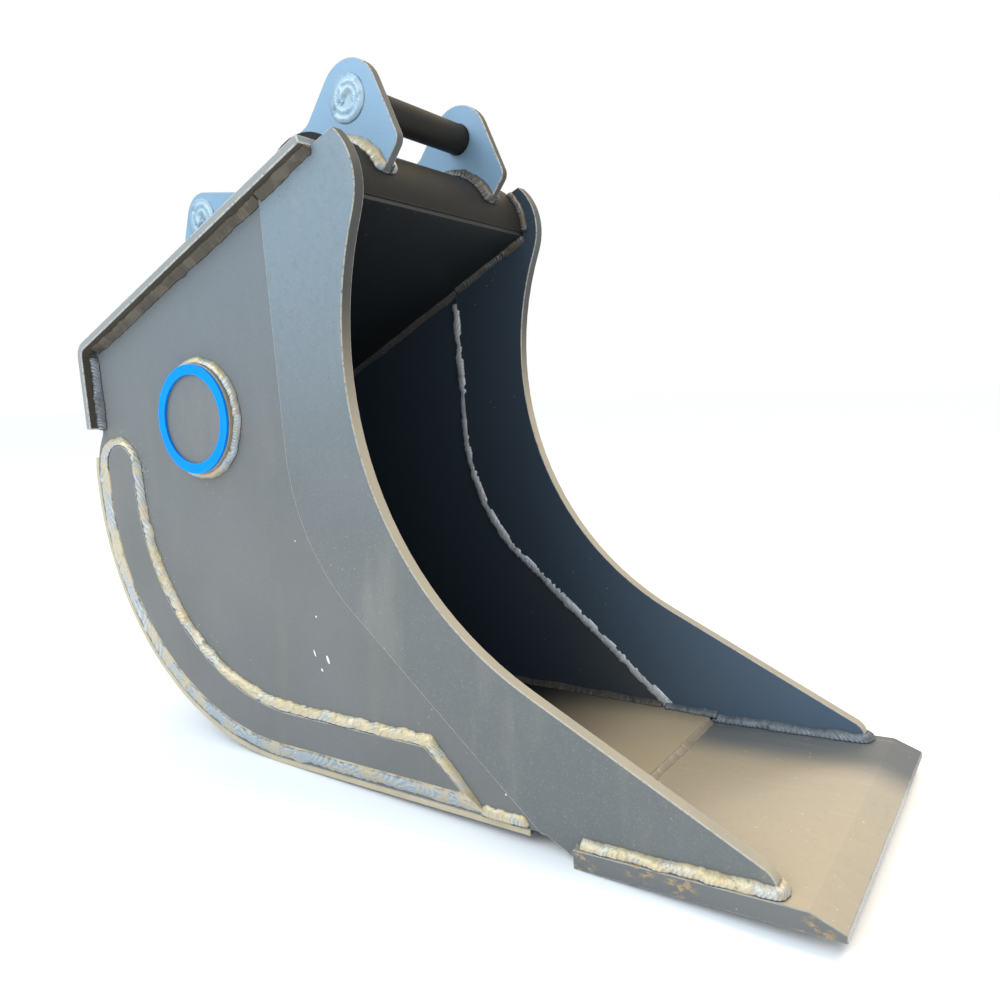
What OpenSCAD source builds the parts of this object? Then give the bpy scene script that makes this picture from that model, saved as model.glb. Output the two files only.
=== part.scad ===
// Welded trenching bucket for laying cable, with a two-pin hitch.
// Drawn with the blade flat: X forward from the bucket's back to the lip, Y across, Z up,
// and X zero at the lip. The rest module then tips it back on to its heel.

/* [Cutting edge] */
// Width of the blade
blade_w = 400; // [370:1:440]
// Length of the blade from the lip to its rear end
blade_len = 255; // [235:1:270]
// Thickness of the blade
blade_t = 20; // [16:0.5:25]
// Thickness left at the sharpened lip
lip_t = 7.5; // [4:0.5:12]
// Length of the sharpened slope
lip_len = 30; // [15:1:45]

/* [Sides] */
// How far the blade stands out beyond each knife plate
blade_over = 10; // [6:0.5:16]
// Thickness of the knife plates at the bucket's mouth
knife_t = 15; // [12:0.5:20]
// Thickness of the side plates behind them
side_t = 8; // [6:0.5:10]
// How far the knife plates stand out beyond the side plates
side_step = 3; // [2:0.5:4]
// Radius of the hollow front edge of the knife plates
mouth_r = 395; // [375:1:410]
// Distance of the hollow's centre behind the lip
mouth_back = 115; // [105:1:125]
// Height of the hollow's centre
mouth_up = 515; // [505:1:525]
// Radius of the round brow above the hollow
brow_r = 80; // [70:1:90]
// Radius at the knife plate's toe
toe_r = 20; // [12:1:26]
// Distance of the toe behind the lip
toe_back = 58; // [50:1:66]
// Distance of the seam between knife plate and side plate behind the lip
seam_back = 620; // [600:1:640]
// Distance behind the blade where the seam meets the floor
seam_gap = 42; // [38:1:50]
// Radius of the seam's bend
seam_r = 262; // [220:1:280]

/* [Shell] */
// Thickness of the rolled shell
shell_t = 6; // [5:0.5:8]
// Distance of the shell's back behind the lip
back_reach = 1031; // [1015:1:1050]
// Straight stretch of the back between the heel's bend and the crown's
back_straight = 19; // [8:1:40]
// Outer radius of the bend at the top of the back
crown_r = 100; // [90:1:110]
// Lap of the shell's floor on the blade
floor_lap = 5; // [3:0.5:10]
// Distance of the roof lining's front end behind the lip
liner_back = 492; // [486:0.5:494]
// Height of the roof lining's lower face at that end
liner_up = 698.5; // [692:0.5:704]

/* [Hitch plate] */
// How far the hitch plate stands out beyond each side plate
roof_over = 20.5; // [14:0.5:26]
// Thickness of the hitch plate
roof_t = 10; // [8:0.5:12]
// Height of the hitch plate's lower face at its front end
roof_up = 757; // [752:0.5:762]
// Distance of that end behind the lip
roof_back = 527; // [522:0.5:532]
// How far the rear flange's inner face stands forward of the shell's back
flange_inset = 27; // [22:0.5:34]
// Gap between the rear flange's lower end and the shell, filled with weld
flange_gap = 2.5; // [1:0.5:6]
// Inner radius of the bend to the rear flange
flange_r = 12; // [11:0.5:18]
// Outer radius of the half pipe that closes the front
roll_r = 69.85; // [66:0.05:73]
// Wall of the half pipe
roll_t = 10; // [8:0.5:12]
// Distance of the half pipe's centre behind the lip
roll_back = 560; // [557:0.5:563]
// Height of the half pipe's centre
roll_up = 711.3; // [708:0.1:715]

/* [Hitch] */
// Diameter of the two pins
pin_d = 40; // [30:1:45]
// Distance between the pin centres
pin_pitch = 300; // [290:1:310]
// Distance of the front pin behind the lip
pin_back = 539; // [535:1:543]
// Height of the front pin
pin_up = 829; // [824:1:836]
// Clear width between the two ears
ear_gap = 200; // [180:1:220]
// Thickness of the ears
ear_t = 12; // [10:0.5:16]
// Radius of the ear round the front pin
ear_front_r = 45; // [38:0.5:46]
// Radius of the ear round the rear pin
ear_rear_r = 34; // [28:0.5:36]

/* [Wear parts] */
// Thickness of the heel plate
heel_t = 8; // [6:0.5:10]
// Distance of the heel plate's front end behind the blade
heel_gap = 57; // [50:1:80]
// Height of the heel plate's top end above the middle of the crown's bend
heel_rise = 30; // [10:1:40]
// Thickness of the side wear strips
strip_t = 8; // [6:0.5:10]
// Width of a strip up the back
strip_back_w = 59; // [50:1:64]
// Width of a strip along the floor
strip_floor_w = 43; // [36:1:50]
// Distance of a strip's front end behind the lip
strip_front = 388; // [375:1:410]
// Height of a strip's top end above the middle of the crown's bend
strip_rise_top = 45; // [30:1:55]

/* [Badge blank] */
// Share of the room between the seam and the wear strip's weld that the blank takes
badge_share = 0.473; // [0.3:0.001:0.6]
// How far the blank's middle lies under the hitch plate
badge_drop = 193; // [180:1:210]
// Thickness of the blank
badge_t = 12; // [8:0.5:14]
// Thickness of the raised ring on it
face_t = 4; // [2:0.5:5]
// Width of that ring
ring_w = 13; // [8:1:24]

/* [Hidden] */

// Slopes of the floor, the roof lining, the hitch plate, the toe and the seam
floor_angle = 1.83;
liner_angle = 23.5;
roof_angle = 19.65;
toe_angle = 28.2;
seam_angle = 42.1;
brow_angle = 155.7;
pin_angle = 15.7;

// How far the badge blank sits behind the middle of its room
badge_shift = 5;
// Insets of the wear strips from the shell's outline
strip_back_inset = 40;
strip_floor_inset = 23.6;
// Legs of the weld beads: along the plate that stays flat, and up the plate's edge
fine_leg = 8;
wide_leg = 12;
roof_leg = 10;
edge_leg = 5;
ear_leg = 9;

// Places across the bucket
knife_out = blade_w / 2 - blade_over;
knife_in = knife_out - knife_t;
side_out = knife_out - side_step;
side_in = side_out - side_t;
roof_w = 2 * (side_out + roof_over);
ear_in = ear_gap / 2;
ear_out = ear_in + ear_t;

// Places along the bucket that follow the blade and the shell
seam_foot = blade_len + seam_gap;
heel_front = blade_len + heel_gap;
flange_back = back_reach - flange_inset;
strip_out = back_reach - strip_back_inset;
strip_in = strip_out - strip_back_w;
strip_weld_in = strip_in - wide_leg;
badge_d = badge_share * (strip_weld_in - seam_back);
badge_back = (strip_weld_in + seam_back) / 2 + badge_shift;

// Drop of the knife plate's rear corner behind the blade, and its run back to the floor
corner_drop = 14;
corner_run = 35;
// The pin's ends fit the ears with this radial clearance
pin_play = 0.1;
// The middle of the hitch plate stops this far behind its overhangs, inside the half pipe
roll_notch = 18;
// Thickness of the half pipe's end caps
cap_t = 6;
// Radius of the wear strips' small corners
strip_corner_r = 3;
// Bare rim of the blank outside its raised ring
ring_in = 1;
// Bare rim that the blade shows beside its outer beads
blade_edge = 1;
// Size of the plug welds over the pins' ends
plug_r = 29;
plug_t = 4;
// Bare rim of side plate outside the wear strips' welds
weld_rim = 2;
// How far a bead's crown stands between its toe and its root
crown_share = 0.62;
// Cuts run this far past what they cut
over = 20;
arc_steps = 26;
bead_steps = 12;
smooth = 96;

// Plane geometry: X is forward and Y is up in every outline
function way(a) = [cos(a), sin(a)];
function left_of(u) = [-u[1], u[0]];
function toward(a, b) = (b - a) / norm(b - a);
function turned(v, a) = [v[0] * cos(a) - v[1] * sin(a), v[0] * sin(a) + v[1] * cos(a)];
function turn_at(a, b, c) = let (u = toward(a, b), v = toward(b, c)) atan2(cross(u, v), u * v);
function arc(c, r, from, to, steps) = [for (k = [0:steps]) c + r * way(from + (to - from) * k / steps)];

// The radius at which a bead's straight steps just touch a round of radius r
function outside_r(r, from, to) = r / cos((to - from) / bead_steps / 2);

// A polyline moved sideways by d to its left
function moved(p, d) = [for (i = [0:len(p) - 1])
    let (u = i == 0 ? toward(p[0], p[1]) : toward(p[i - 1], p[i]),
         v = i == len(p) - 1 ? u : toward(p[i], p[i + 1]),
         m = left_of(u), n = left_of(v))
    p[i] + d * (m + n) / (1 + m * n)];

// The points of one corner of radius r
function corner(a, b, c, r, steps) =
    let (t = turn_at(a, b, c), s = sign(t), u = toward(a, b),
         start = b - r * tan(abs(t) / 2) * u, m = start + s * r * left_of(u))
    r <= 0 ? [b] : [for (k = [0:steps]) m + turned(start - m, t * k / steps)];

// A polyline moved sideways, with its corners rounded to suit
function run(p, r, d, steps) = let (q = moved(p, d)) [for (i = [0:len(p) - 1])
    each i == 0 || i == len(p) - 1 ? [q[i]]
        : corner(q[i - 1], q[i], q[i + 1], r[i] - d * sign(turn_at(p[i - 1], p[i], p[i + 1])), steps)];

function reversed(p) = [for (i = [len(p) - 1:-1:0]) p[i]];
function shorter(p) = [for (i = [0:len(p) - 2]) p[i]];

// Heights on the sloping lines, at a distance back from the lip
function floor_at(back) = blade_t + (back - blade_len + floor_lap) * tan(floor_angle);
function liner_at(back) = liner_up + shell_t / cos(liner_angle) - (back - liner_back) * tan(liner_angle);
function roof_at(back) = roof_up - (back - roof_back) * tan(roof_angle);
function roof_top_at(back) = roof_at(back) + roof_t / cos(roof_angle);

// The heel's bend fills the height that the crown's bend and the straight stretch leave
heel_r = (liner_at(back_reach) - floor_at(back_reach) - crown_r * tan((90 - liner_angle) / 2) - back_straight)
    / tan((90 - floor_angle) / 2);

// Outer line of the shell: along the floor, up the back, and forward under the hitch plate
shell_line = [[-blade_len + floor_lap, blade_t], [-back_reach, floor_at(back_reach)],
    [-back_reach, liner_at(back_reach)], [-liner_back, liner_at(liner_back)]];
shell_bends = [0, heel_r, crown_r, 0];
function shell_run(d) = run(shell_line, shell_bends, d, arc_steps);

// The side plate meets the flange where the shell's crown passes it
crown_c = [-back_reach + crown_r,
    liner_at(back_reach - crown_r) - crown_r / cos(liner_angle)];
crown_z = crown_c[1] + sqrt(crown_r ^ 2 - (crown_c[0] + flange_back) ^ 2);

// Lower line of the hitch plate: back along the roof, then down the rear flange
flange_foot = crown_z + flange_gap;
roof_line = [[-roof_back, roof_up], [-flange_back, roof_at(flange_back)], [-flange_back, flange_foot]];
roof_bends = [0, flange_r, 0];

// Seam between knife plate and side plate, from the roof down to the floor
seam_corner_z = floor_at(seam_foot) + (seam_back - seam_foot) * tan(seam_angle);
function seam_line(top, foot_z) = [[-seam_back, top], [-seam_back, seam_corner_z],
    [-seam_foot - (foot_z - floor_at(seam_foot)) / tan(seam_angle), foot_z]];
seam_bends = [0, seam_r, 0];

// Front edge of the knife plate: brow, hollow, straight and toe
mouth_c = [-mouth_back, mouth_up];
brow_c = mouth_c + (mouth_r + brow_r) * way(brow_angle);
brow_h = ([-roof_back, roof_up] - brow_c) * left_of(way(roof_angle));
brow_tip = brow_c + brow_h * left_of(way(roof_angle)) + sqrt(brow_r ^ 2 - brow_h ^ 2) * way(roof_angle);
brow_from = atan2(brow_tip[1] - brow_c[1], brow_tip[0] - brow_c[0]);
straight_from = mouth_c + mouth_r * way(270 - toe_angle);
toe_c = [-toe_back - toe_r,
    straight_from[1] - (straight_from[0] * -1 - toe_back - toe_r) * tan(toe_angle) - toe_r / cos(toe_angle)];
knife_front = concat(arc(brow_c, brow_r, brow_from, brow_angle - 180, bead_steps),
    arc(mouth_c, mouth_r, brow_angle, 270 - toe_angle, arc_steps),
    arc(toe_c, toe_r, 90 - toe_angle, 0, bead_steps), [[-toe_back, blade_t]]);

knife_outline = concat([[-seam_back, roof_at(seam_back)]], knife_front,
    [[-blade_len, blade_t], [-blade_len, blade_t - corner_drop], [-blade_len - corner_drop / 2,
    blade_t - corner_drop], [-blade_len - corner_run, floor_at(blade_len + corner_run)]],
    reversed(run(seam_line(roof_at(seam_back), floor_at(seam_foot)), seam_bends, 0, arc_steps)));

side_outline = concat(run(seam_line(roof_at(seam_back), floor_at(seam_foot)), seam_bends, 0, arc_steps),
    [for (p = shell_run(0)) if (p[0] < -seam_foot && p[1] < crown_z) p],
    [[-flange_back, crown_z]],
    [for (p = reversed(run(roof_line, roof_bends, 0, bead_steps)))
        if (p[0] < -seam_back && p[1] > crown_z) p]);

// Centre and reach of the half pipe, and of the pins
roll_c = [-roll_back, roll_up];
front_pin_c = [-pin_back, pin_up];
rear_pin_c = front_pin_c - pin_pitch * way(pin_angle);

// The ear's outline, anticlockwise from its rear foot on the hitch plate. Its points are places
// measured from the pin that each one belongs to, in radii of the ear there.
nose_shares = [[1.6, -1.36], [0.36, 1.9], [-1.55, -0.28]];
tail_shares = [[2.35, 0.6], [-0.53, 1.2], [-2.35, -3.15]];
ear_line = [
    [rear_pin_c[0] + ear_rear_r * tail_shares[2][0],
        roof_top_at(-rear_pin_c[0] - ear_rear_r * tail_shares[2][0])],
    [-roll_back, roof_top_at(roll_back)],
    roll_c + roll_r * [0.8, 0.2],
    front_pin_c + ear_front_r * nose_shares[0],
    front_pin_c + ear_front_r * nose_shares[1],
    front_pin_c + ear_front_r * nose_shares[2],
    rear_pin_c + ear_rear_r * tail_shares[0],
    rear_pin_c + ear_rear_r * tail_shares[1]];
ear_bends = [0, 0, 0, ear_front_r / 3, ear_front_r, ear_front_r / 2, ear_rear_r, ear_rear_r];
ear_outline = let (n = len(ear_line)) [for (i = [0:n - 1])
    each corner(ear_line[(i + n - 1) % n], ear_line[i], ear_line[(i + 1) % n], ear_bends[i], bead_steps)];

badge_up = roof_at(badge_back) - badge_drop;
heel_top = crown_c[1] + heel_rise;
strip_top = crown_c[1] + strip_rise_top;
strip_outer_r = heel_r - 29 / 352 * heel_r;
strip_inner_r = heel_r - 62 / 352 * heel_r;

// The wear strip's outline, from the middle of its lower edge round to the same place
strip_rise = strip_floor_inset + strip_floor_w;
strip_mid = (strip_front + back_reach - heel_r) / 2;
strip_end = strip_front + strip_floor_w * 1.2;
strip_line = [[-strip_mid, floor_at(strip_mid) + strip_floor_inset],
    [-strip_out, floor_at(strip_out) + strip_floor_inset], [-strip_out, strip_top], [-strip_in, strip_top],
    [-strip_in, floor_at(strip_in) + strip_rise], [-strip_end, floor_at(strip_end) + strip_rise],
    [-strip_front, floor_at(strip_front) + strip_floor_inset],
    [-strip_mid, floor_at(strip_mid) + strip_floor_inset]];

// The toe of the weld round it, which outside the strip reaches nearly to the shell's edge
strip_weld_out = back_reach - weld_rim;
strip_weld_line = [[-strip_mid, floor_at(strip_mid) + weld_rim],
    [-strip_weld_out, floor_at(strip_weld_out) + weld_rim], [-strip_weld_out, strip_top + wide_leg],
    [-strip_weld_in, strip_top + wide_leg], [-strip_weld_in, floor_at(strip_weld_in) + strip_rise + wide_leg],
    [-strip_end + wide_leg / 2, floor_at(strip_end) + strip_rise + wide_leg],
    [-strip_front + 2 * wide_leg, floor_at(strip_front) + weld_rim],
    [-strip_mid, floor_at(strip_mid) + weld_rim]];
strip_weld_cap_r = (strip_weld_out - strip_weld_in) * 0.499;
strip_weld_bends = [0, heel_r - weld_rim, strip_weld_cap_r, strip_weld_cap_r, strip_inner_r - wide_leg,
    wide_leg, strip_corner_r, 0];
strip_cap_r = strip_back_w * 0.499;
strip_bends = [0, strip_outer_r, strip_cap_r, strip_cap_r, strip_inner_r, strip_corner_r, strip_corner_r, 0];

// The bucket rests on the blade's rear corner and on its heel, tipped back by this angle
heel_run = shell_run(heel_t);
rest_tilt = min([for (p = heel_run) if (p[0] < -heel_front && p[1] < heel_top)
    atan2(p[1], -blade_len - p[0])]);
function rested(p) = turned(p - [-blade_len, 0], rest_tilt);
reach = concat([for (p = [[0, 0], [0, lip_t]]) rested(p)[0]], [for (p = heel_run) rested(p)[0]]);
middle = (max(reach) + min(reach)) / 2;

module rest() {
    translate([-middle, 0, 0]) rotate([0, -rest_tilt, 0]) translate([blade_len, 0, 0]) children();
}

// An outline drawn in side view and given a width from y = low to y = high
module across(low, high) {
    translate([0, max(low, high), 0]) rotate([90, 0, 0]) linear_extrude(abs(high - low)) children();
}

module both_sides() {
    children();
    mirror([0, 1, 0]) children();
}

module on_left() {
    mirror([0, 1, 0]) children();
}

// A weld bead: root runs along the edge that it fills, toe along the flat plate at y = low,
// and the bead climbs the edge to y = high. A ring closes on itself.
module bead(root, toe, low, high, ring = false) {
    n = len(root);
    crown = [for (i = [0:n - 1]) root[i] + (toe[i] - root[i]) * crown_share];
    crown_y = low + (high - low) * crown_share;
    points = [for (i = [0:n - 1]) each [[root[i][0], low, root[i][1]], [toe[i][0], low, toe[i][1]],
        [crown[i][0], crown_y, crown[i][1]], [root[i][0], high, root[i][1]]]];
    inside_out = (high - low) * cross(root[1] - root[0], toe[0] - root[0]) < 0;
    walls = [for (i = [0:n - (ring ? 1 : 2)]) each [for (k = [0:3]) each
        let (a = 4 * i + k, b = 4 * i + (k + 1) % 4, c = (a + 4) % (4 * n), d = (b + 4) % (4 * n))
        [[a, b, d], [a, d, c]]]];
    ends = [[3, 2, 1], [3, 1, 0], [4 * n - 3, 4 * n - 2, 4 * n - 1], [4 * n - 4, 4 * n - 3, 4 * n - 1]];
    faces = concat(walls, ring ? [] : ends);
    polyhedron(points, inside_out ? faces : [for (f = faces) reversed(f)]);
}

module cutting_edge() {
    color("tan") rest() across(-blade_w / 2, blade_w / 2)
        polygon([[-blade_len, 0], [0, 0], [0, lip_t], [-lip_len, blade_t], [-blade_len, blade_t]]);
}

module shell_liner() {
    color("darkslategray") rest() difference() {
        across(-side_in, side_in) polygon(concat(shell_run(0), reversed(shell_run(-shell_t))));
        both_sides() {
            across(knife_in, side_in + over) {
                translate([-seam_foot - shell_t / tan(seam_angle), 0])
                    square([seam_foot, seam_foot / 2]);
                translate([-seam_back, roof_up - seam_foot / 2]) square([seam_foot, seam_foot]);
            }
        }
    }
}

module knife_plate() {
    color("slategray") rest() across(-knife_out, -knife_in) polygon(knife_outline);
}

module side_plate() {
    color("gray") rest() across(-side_out, -side_in) polygon(side_outline);
}

module hitch_plate() {
    color("dimgray") rest() difference() {
        across(-roof_w / 2, roof_w / 2) polygon(concat(run(roof_line, roof_bends, 0, bead_steps),
            reversed(run(roof_line, roof_bends, -roof_t, bead_steps))));
        across(-knife_in, knife_in) translate([-roof_back - roll_notch, roof_up - roll_r])
            square([2 * roll_r, 2 * roll_r]);
    }
}

// Everything above the hitch plate and the roof lining, near the half pipe
module above_plates() {
    polygon([[-roll_back - 2 * roll_r, roof_top_at(roll_back + 2 * roll_r)],
        [-roof_back - roll_notch, roof_top_at(roof_back + roll_notch)],
        [-roof_back - roll_notch, liner_at(roof_back + roll_notch)],
        [-roll_back + 2 * roll_r, liner_at(roll_back - 2 * roll_r)],
        [-roll_back + 2 * roll_r, roll_up + 2 * roll_r], [-roll_back - 2 * roll_r, roll_up + 2 * roll_r]]);
}

module front_half_pipe() {
    color("dimgray") rest() across(-knife_in, knife_in) intersection() {
        translate(roll_c) difference() {
            circle(roll_r, $fn = smooth);
            circle(roll_r - roll_t, $fn = smooth);
        }
        above_plates();
    }
}

module half_pipe_caps() {
    color("slategray") rest() both_sides() across(knife_in - cap_t, knife_in) intersection() {
        translate(roll_c) circle(roll_r - roll_t, $fn = smooth);
        polygon([[-roll_back - 2 * roll_r, roof_top_at(roll_back + 2 * roll_r)],
            [-roof_back, roof_top_at(roof_back)], [-roof_back, roof_up + roll_r],
            [-roll_back - 2 * roll_r, roof_up + roll_r]]);
    }
}

module hitch_ear() {
    color("lightsteelblue") rest() across(-ear_out, -ear_in) difference() {
        polygon(ear_outline);
        translate(roll_c) circle(roll_r, $fn = smooth);
        for (c = [front_pin_c, rear_pin_c]) translate(c) circle(pin_d / 2 + pin_play, $fn = smooth);
    }
}

module pin_at(c) {
    color("dimgray") rest() across(-ear_out, ear_out) translate(c) circle(pin_d / 2, $fn = smooth);
}

module heel_plate() {
    color("darkgray") rest() across(-side_out, side_out) intersection() {
        polygon(concat(shell_run(heel_t), reversed(shell_run(0))));
        translate([-back_reach - over, 0]) square([back_reach + over - heel_front, heel_top]);
    }
}

module wear_strip() {
    color("slategray") rest() across(-side_out - strip_t, -side_out)
        polygon(run(strip_line, strip_bends, 0, arc_steps));
}

module badge_blank() {
    color("silver") rest() across(-side_out - badge_t, -side_out)
        translate([-badge_back, badge_up]) circle(badge_d / 2, $fn = smooth);
}

module badge_ring() {
    color("dodgerblue") rest() across(-side_out - badge_t - face_t, -side_out - badge_t)
        translate([-badge_back, badge_up]) difference() {
            circle(badge_d / 2 - ring_in, $fn = smooth);
            circle(badge_d / 2 - ring_in - ring_w, $fn = smooth);
        }
}

module badge_weld() {
    color("gainsboro") rest() translate([-badge_back, -side_out, badge_up]) rotate([90, 0, 0])
        rotate_extrude($fn = smooth) translate([badge_d / 2, 0])
            polygon([[0, 0], [fine_leg, 0], [fine_leg * crown_share, fine_leg * crown_share], [0, fine_leg]]);
}

// Along the blade outside and inside the knife plate, and round its toe
module blade_bead(low, high) {
    translate([-blade_len + floor_lap, 0, 0]) rotate([90, 0, 90])
        linear_extrude(blade_len - floor_lap - toe_back + fine_leg / 2)
            polygon([[low, blade_t], [high, blade_t],
                [low + (high - low) * crown_share, blade_t + roof_leg * crown_share], [low, blade_t + roof_leg]]);
}

module blade_welds() {
    color("wheat") rest() {
        blade_bead(-knife_out, -blade_w / 2 + blade_edge);
        blade_bead(-knife_in, -knife_in + roof_leg);
        across(-knife_out - fine_leg / 4, -knife_in + fine_leg / 4) polygon([[-toe_back, blade_t],
            [-toe_back + fine_leg, blade_t],
            [-toe_back + fine_leg * crown_share, blade_t + (toe_c[1] - blade_t) * crown_share],
            [-toe_back, toe_c[1]]]);
    }
}

module floor_seam_weld() {
    x = -blade_len + floor_lap;
    color("wheat") rest() across(-knife_in + roof_leg, knife_in - roof_leg)
        polygon([[x, blade_t], [x + fine_leg, blade_t],
            [x + fine_leg * crown_share, blade_t + shell_t * crown_share], shell_run(-shell_t)[0]]);
}

// Inside, along the seam between the knife plate and the side plate
module side_seam_weld() {
    line = seam_line(liner_at(seam_back) - (shell_t + 2 * fine_leg) / cos(liner_angle),
        floor_at(seam_foot) + shell_t + fine_leg);
    color("gainsboro") rest()
        bead(run(line, seam_bends, 0, arc_steps), run(line, seam_bends, -fine_leg, arc_steps), -side_in, -knife_in);
}

// Inside, round the shell where it meets the side plate
module lining_weld() {
    from = seam_foot + (shell_t + 2 * fine_leg) / tan(seam_angle);
    line = [[-from, floor_at(from)], shell_line[1], shell_line[2], [-seam_back, liner_at(seam_back)]];
    color("gainsboro") rest() bead(run(line, shell_bends, -shell_t, arc_steps),
        run(line, shell_bends, -shell_t - fine_leg, arc_steps), -side_in, -side_in + fine_leg);
}

// Under the hitch plate's overhang, along the knife plate and then the side plate and flange
module hitch_plate_weld() {
    front = [[-roof_back, roof_up], [-seam_back, roof_at(seam_back)]];
    rear = [[-seam_back, roof_at(seam_back)], roof_line[1], [-flange_back, crown_z]];
    color("gainsboro") rest() {
        bead(front, moved(front, roof_leg), -knife_out, -knife_out - roof_leg);
        bead(run(rear, roof_bends, 0, bead_steps), run(rear, roof_bends, roof_leg, bead_steps),
            -side_out, -side_out - roof_leg);
    }
}

// Fills the wedge between the flange's lower end and the shell's crown
module flange_weld() {
    color("gainsboro") rest() across(-side_out, side_out) difference() {
        translate([-flange_back - roof_t, crown_c[1]]) square([roof_t, flange_foot - crown_c[1]]);
        polygon(shell_run(0));
    }
}

// The half pipe's ends against the knife plates, and the lining's edges behind them
module half_pipe_welds() {
    from = asin((liner_at(roll_back - roll_r) - roll_up) / roll_r);
    to = 45;
    clear_r = outside_r(roll_r, from, to);
    front = arc(roll_c, clear_r, from, to, bead_steps);
    wide = arc(roll_c, clear_r + fine_leg, from, to, bead_steps);
    under = moved([[-liner_back, liner_at(liner_back)], [-seam_back, liner_at(seam_back)]], shell_t);
    color("gainsboro") rest() both_sides() {
        bead(front, wide, -knife_in, -knife_in + fine_leg);
        bead(under, moved(under, fine_leg), -knife_in, -knife_in + fine_leg);
    }
}

// Round the foot of an ear, over the half pipe and back along the hitch plate
module ear_welds() {
    tip = asin(0.36);
    rise = (roof_top_at(roll_back) - roll_up) * cos(roof_angle);
    landing = 90 + roof_angle + acos(rise / roll_r);
    foot = concat(arc(roll_c, outside_r(roll_r, tip, landing), tip, landing, bead_steps), [ear_line[0]]);
    color("gainsboro") rest() {
        bead(foot, moved(foot, -ear_leg), -ear_out, -ear_out - ear_leg);
        bead(foot, moved(foot, -ear_leg), -ear_in, -ear_in + ear_leg);
    }
}

module pin_plug_welds() {
    color("lightsteelblue") rest() both_sides() for (c = [front_pin_c, rear_pin_c])
        across(-ear_out - plug_t, -ear_out) translate(c) circle(plug_r, $fn = smooth);
}

// Round the wear strip
module wear_strip_weld() {
    color("gainsboro") rest() bead(shorter(run(strip_line, strip_bends, 0, arc_steps)),
        shorter(run(strip_weld_line, strip_weld_bends, 0, arc_steps)), -side_out, -side_out - strip_t, true);
}

// Along the heel plate's edge, from the wear strip to the heel plate's front end
module heel_edge_weld() {
    from = strip_front - 2 * wide_leg - weld_rim;
    line = [for (x = [from, heel_front]) [-x, floor_at(x) + weld_rim]];
    color("gainsboro") rest()
        bead(line, moved(line, wide_leg), -side_out, -side_out - edge_leg);
}

cutting_edge();
shell_liner();
knife_plate();  // knife_plate_right
on_left() knife_plate();  // knife_plate_left
side_plate();  // side_plate_right
on_left() side_plate();  // side_plate_left
hitch_plate();
front_half_pipe();
half_pipe_caps();
hitch_ear();  // hitch_ear_right
on_left() hitch_ear();  // hitch_ear_left
pin_at(front_pin_c);  // front_pin
pin_at(rear_pin_c);  // rear_pin
heel_plate();
wear_strip();  // wear_strip_right
on_left() wear_strip();  // wear_strip_left
badge_blank();
badge_ring();
blade_welds();  // blade_welds_right
on_left() blade_welds();  // blade_welds_left
floor_seam_weld();
side_seam_weld();  // side_seam_weld_right
on_left() side_seam_weld();  // side_seam_weld_left
lining_weld();  // lining_weld_right
on_left() lining_weld();  // lining_weld_left
hitch_plate_weld();  // hitch_plate_weld_right
on_left() hitch_plate_weld();  // hitch_plate_weld_left
flange_weld();
half_pipe_welds();
ear_welds();  // ear_welds_right
on_left() ear_welds();  // ear_welds_left
pin_plug_welds();
wear_strip_weld();  // wear_strip_weld_right
on_left() wear_strip_weld();  // wear_strip_weld_left
badge_weld();
heel_edge_weld();  // heel_edge_weld_right
on_left() heel_edge_weld();  // heel_edge_weld_left
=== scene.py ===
"""Looks of a welded trenching bucket: worn satin paint, rippled weld beads and a pale studio floor.

Side views are drawn in millimetres with the blade flat, X forward from the back to the lip and Z up,
and the Rest class tips them on to the heel and into the frame's metres.
"""

from __future__ import annotations

import logging
import math
from dataclasses import dataclass
from enum import Enum
from typing import Any, ClassVar, Sequence

import bmesh
import bpy
import numpy as np
from mathutils import Matrix, Vector

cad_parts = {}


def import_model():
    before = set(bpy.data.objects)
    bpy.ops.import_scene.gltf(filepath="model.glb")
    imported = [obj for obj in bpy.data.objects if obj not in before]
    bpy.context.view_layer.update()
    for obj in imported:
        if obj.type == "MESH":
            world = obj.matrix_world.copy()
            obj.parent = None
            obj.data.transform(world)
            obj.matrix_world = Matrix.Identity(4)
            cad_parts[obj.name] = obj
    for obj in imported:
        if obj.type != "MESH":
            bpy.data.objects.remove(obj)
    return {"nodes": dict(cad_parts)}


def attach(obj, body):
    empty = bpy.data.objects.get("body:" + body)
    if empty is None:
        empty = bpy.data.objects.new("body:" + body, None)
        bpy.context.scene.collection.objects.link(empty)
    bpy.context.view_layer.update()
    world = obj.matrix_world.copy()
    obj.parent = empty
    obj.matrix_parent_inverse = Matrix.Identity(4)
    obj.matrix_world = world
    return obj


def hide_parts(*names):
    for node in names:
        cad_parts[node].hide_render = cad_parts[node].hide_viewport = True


LOG = logging.getLogger("bucket")
MM = 0.001
BEND_CHORDS = 26
ACROSS_POINTS = 40
Line = np.ndarray
Colour = tuple[float, float, float]
Point = tuple[float, float, float]
Solid = tuple[np.ndarray, list[tuple[int, ...]], np.ndarray]


class Side(Enum):
    """The two sides of the bucket, by the sign of their place across it."""

    RIGHT = -1
    LEFT = 1

    @property
    def word(self) -> str:
        """The side's name as the nodes write it."""
        return self.name.lower()


# Outlines


def way(degrees: float) -> np.ndarray:
    """The unit vector at an angle from forward."""
    return np.array([math.cos(math.radians(degrees)), math.sin(math.radians(degrees))])


def left_of(u: np.ndarray) -> np.ndarray:
    """The direction a quarter turn to the left of u."""
    return np.array([-u[1], u[0]])


def toward(a: Sequence[float], b: Sequence[float]) -> np.ndarray:
    """The unit vector from a to b."""
    step = np.subtract(b, a)
    return step / np.hypot(*step)


def turned(v: np.ndarray, degrees: float) -> np.ndarray:
    """A plane vector turned anticlockwise."""
    c, s = way(degrees)
    return np.array([v[0] * c - v[1] * s, v[0] * s + v[1] * c])


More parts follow.
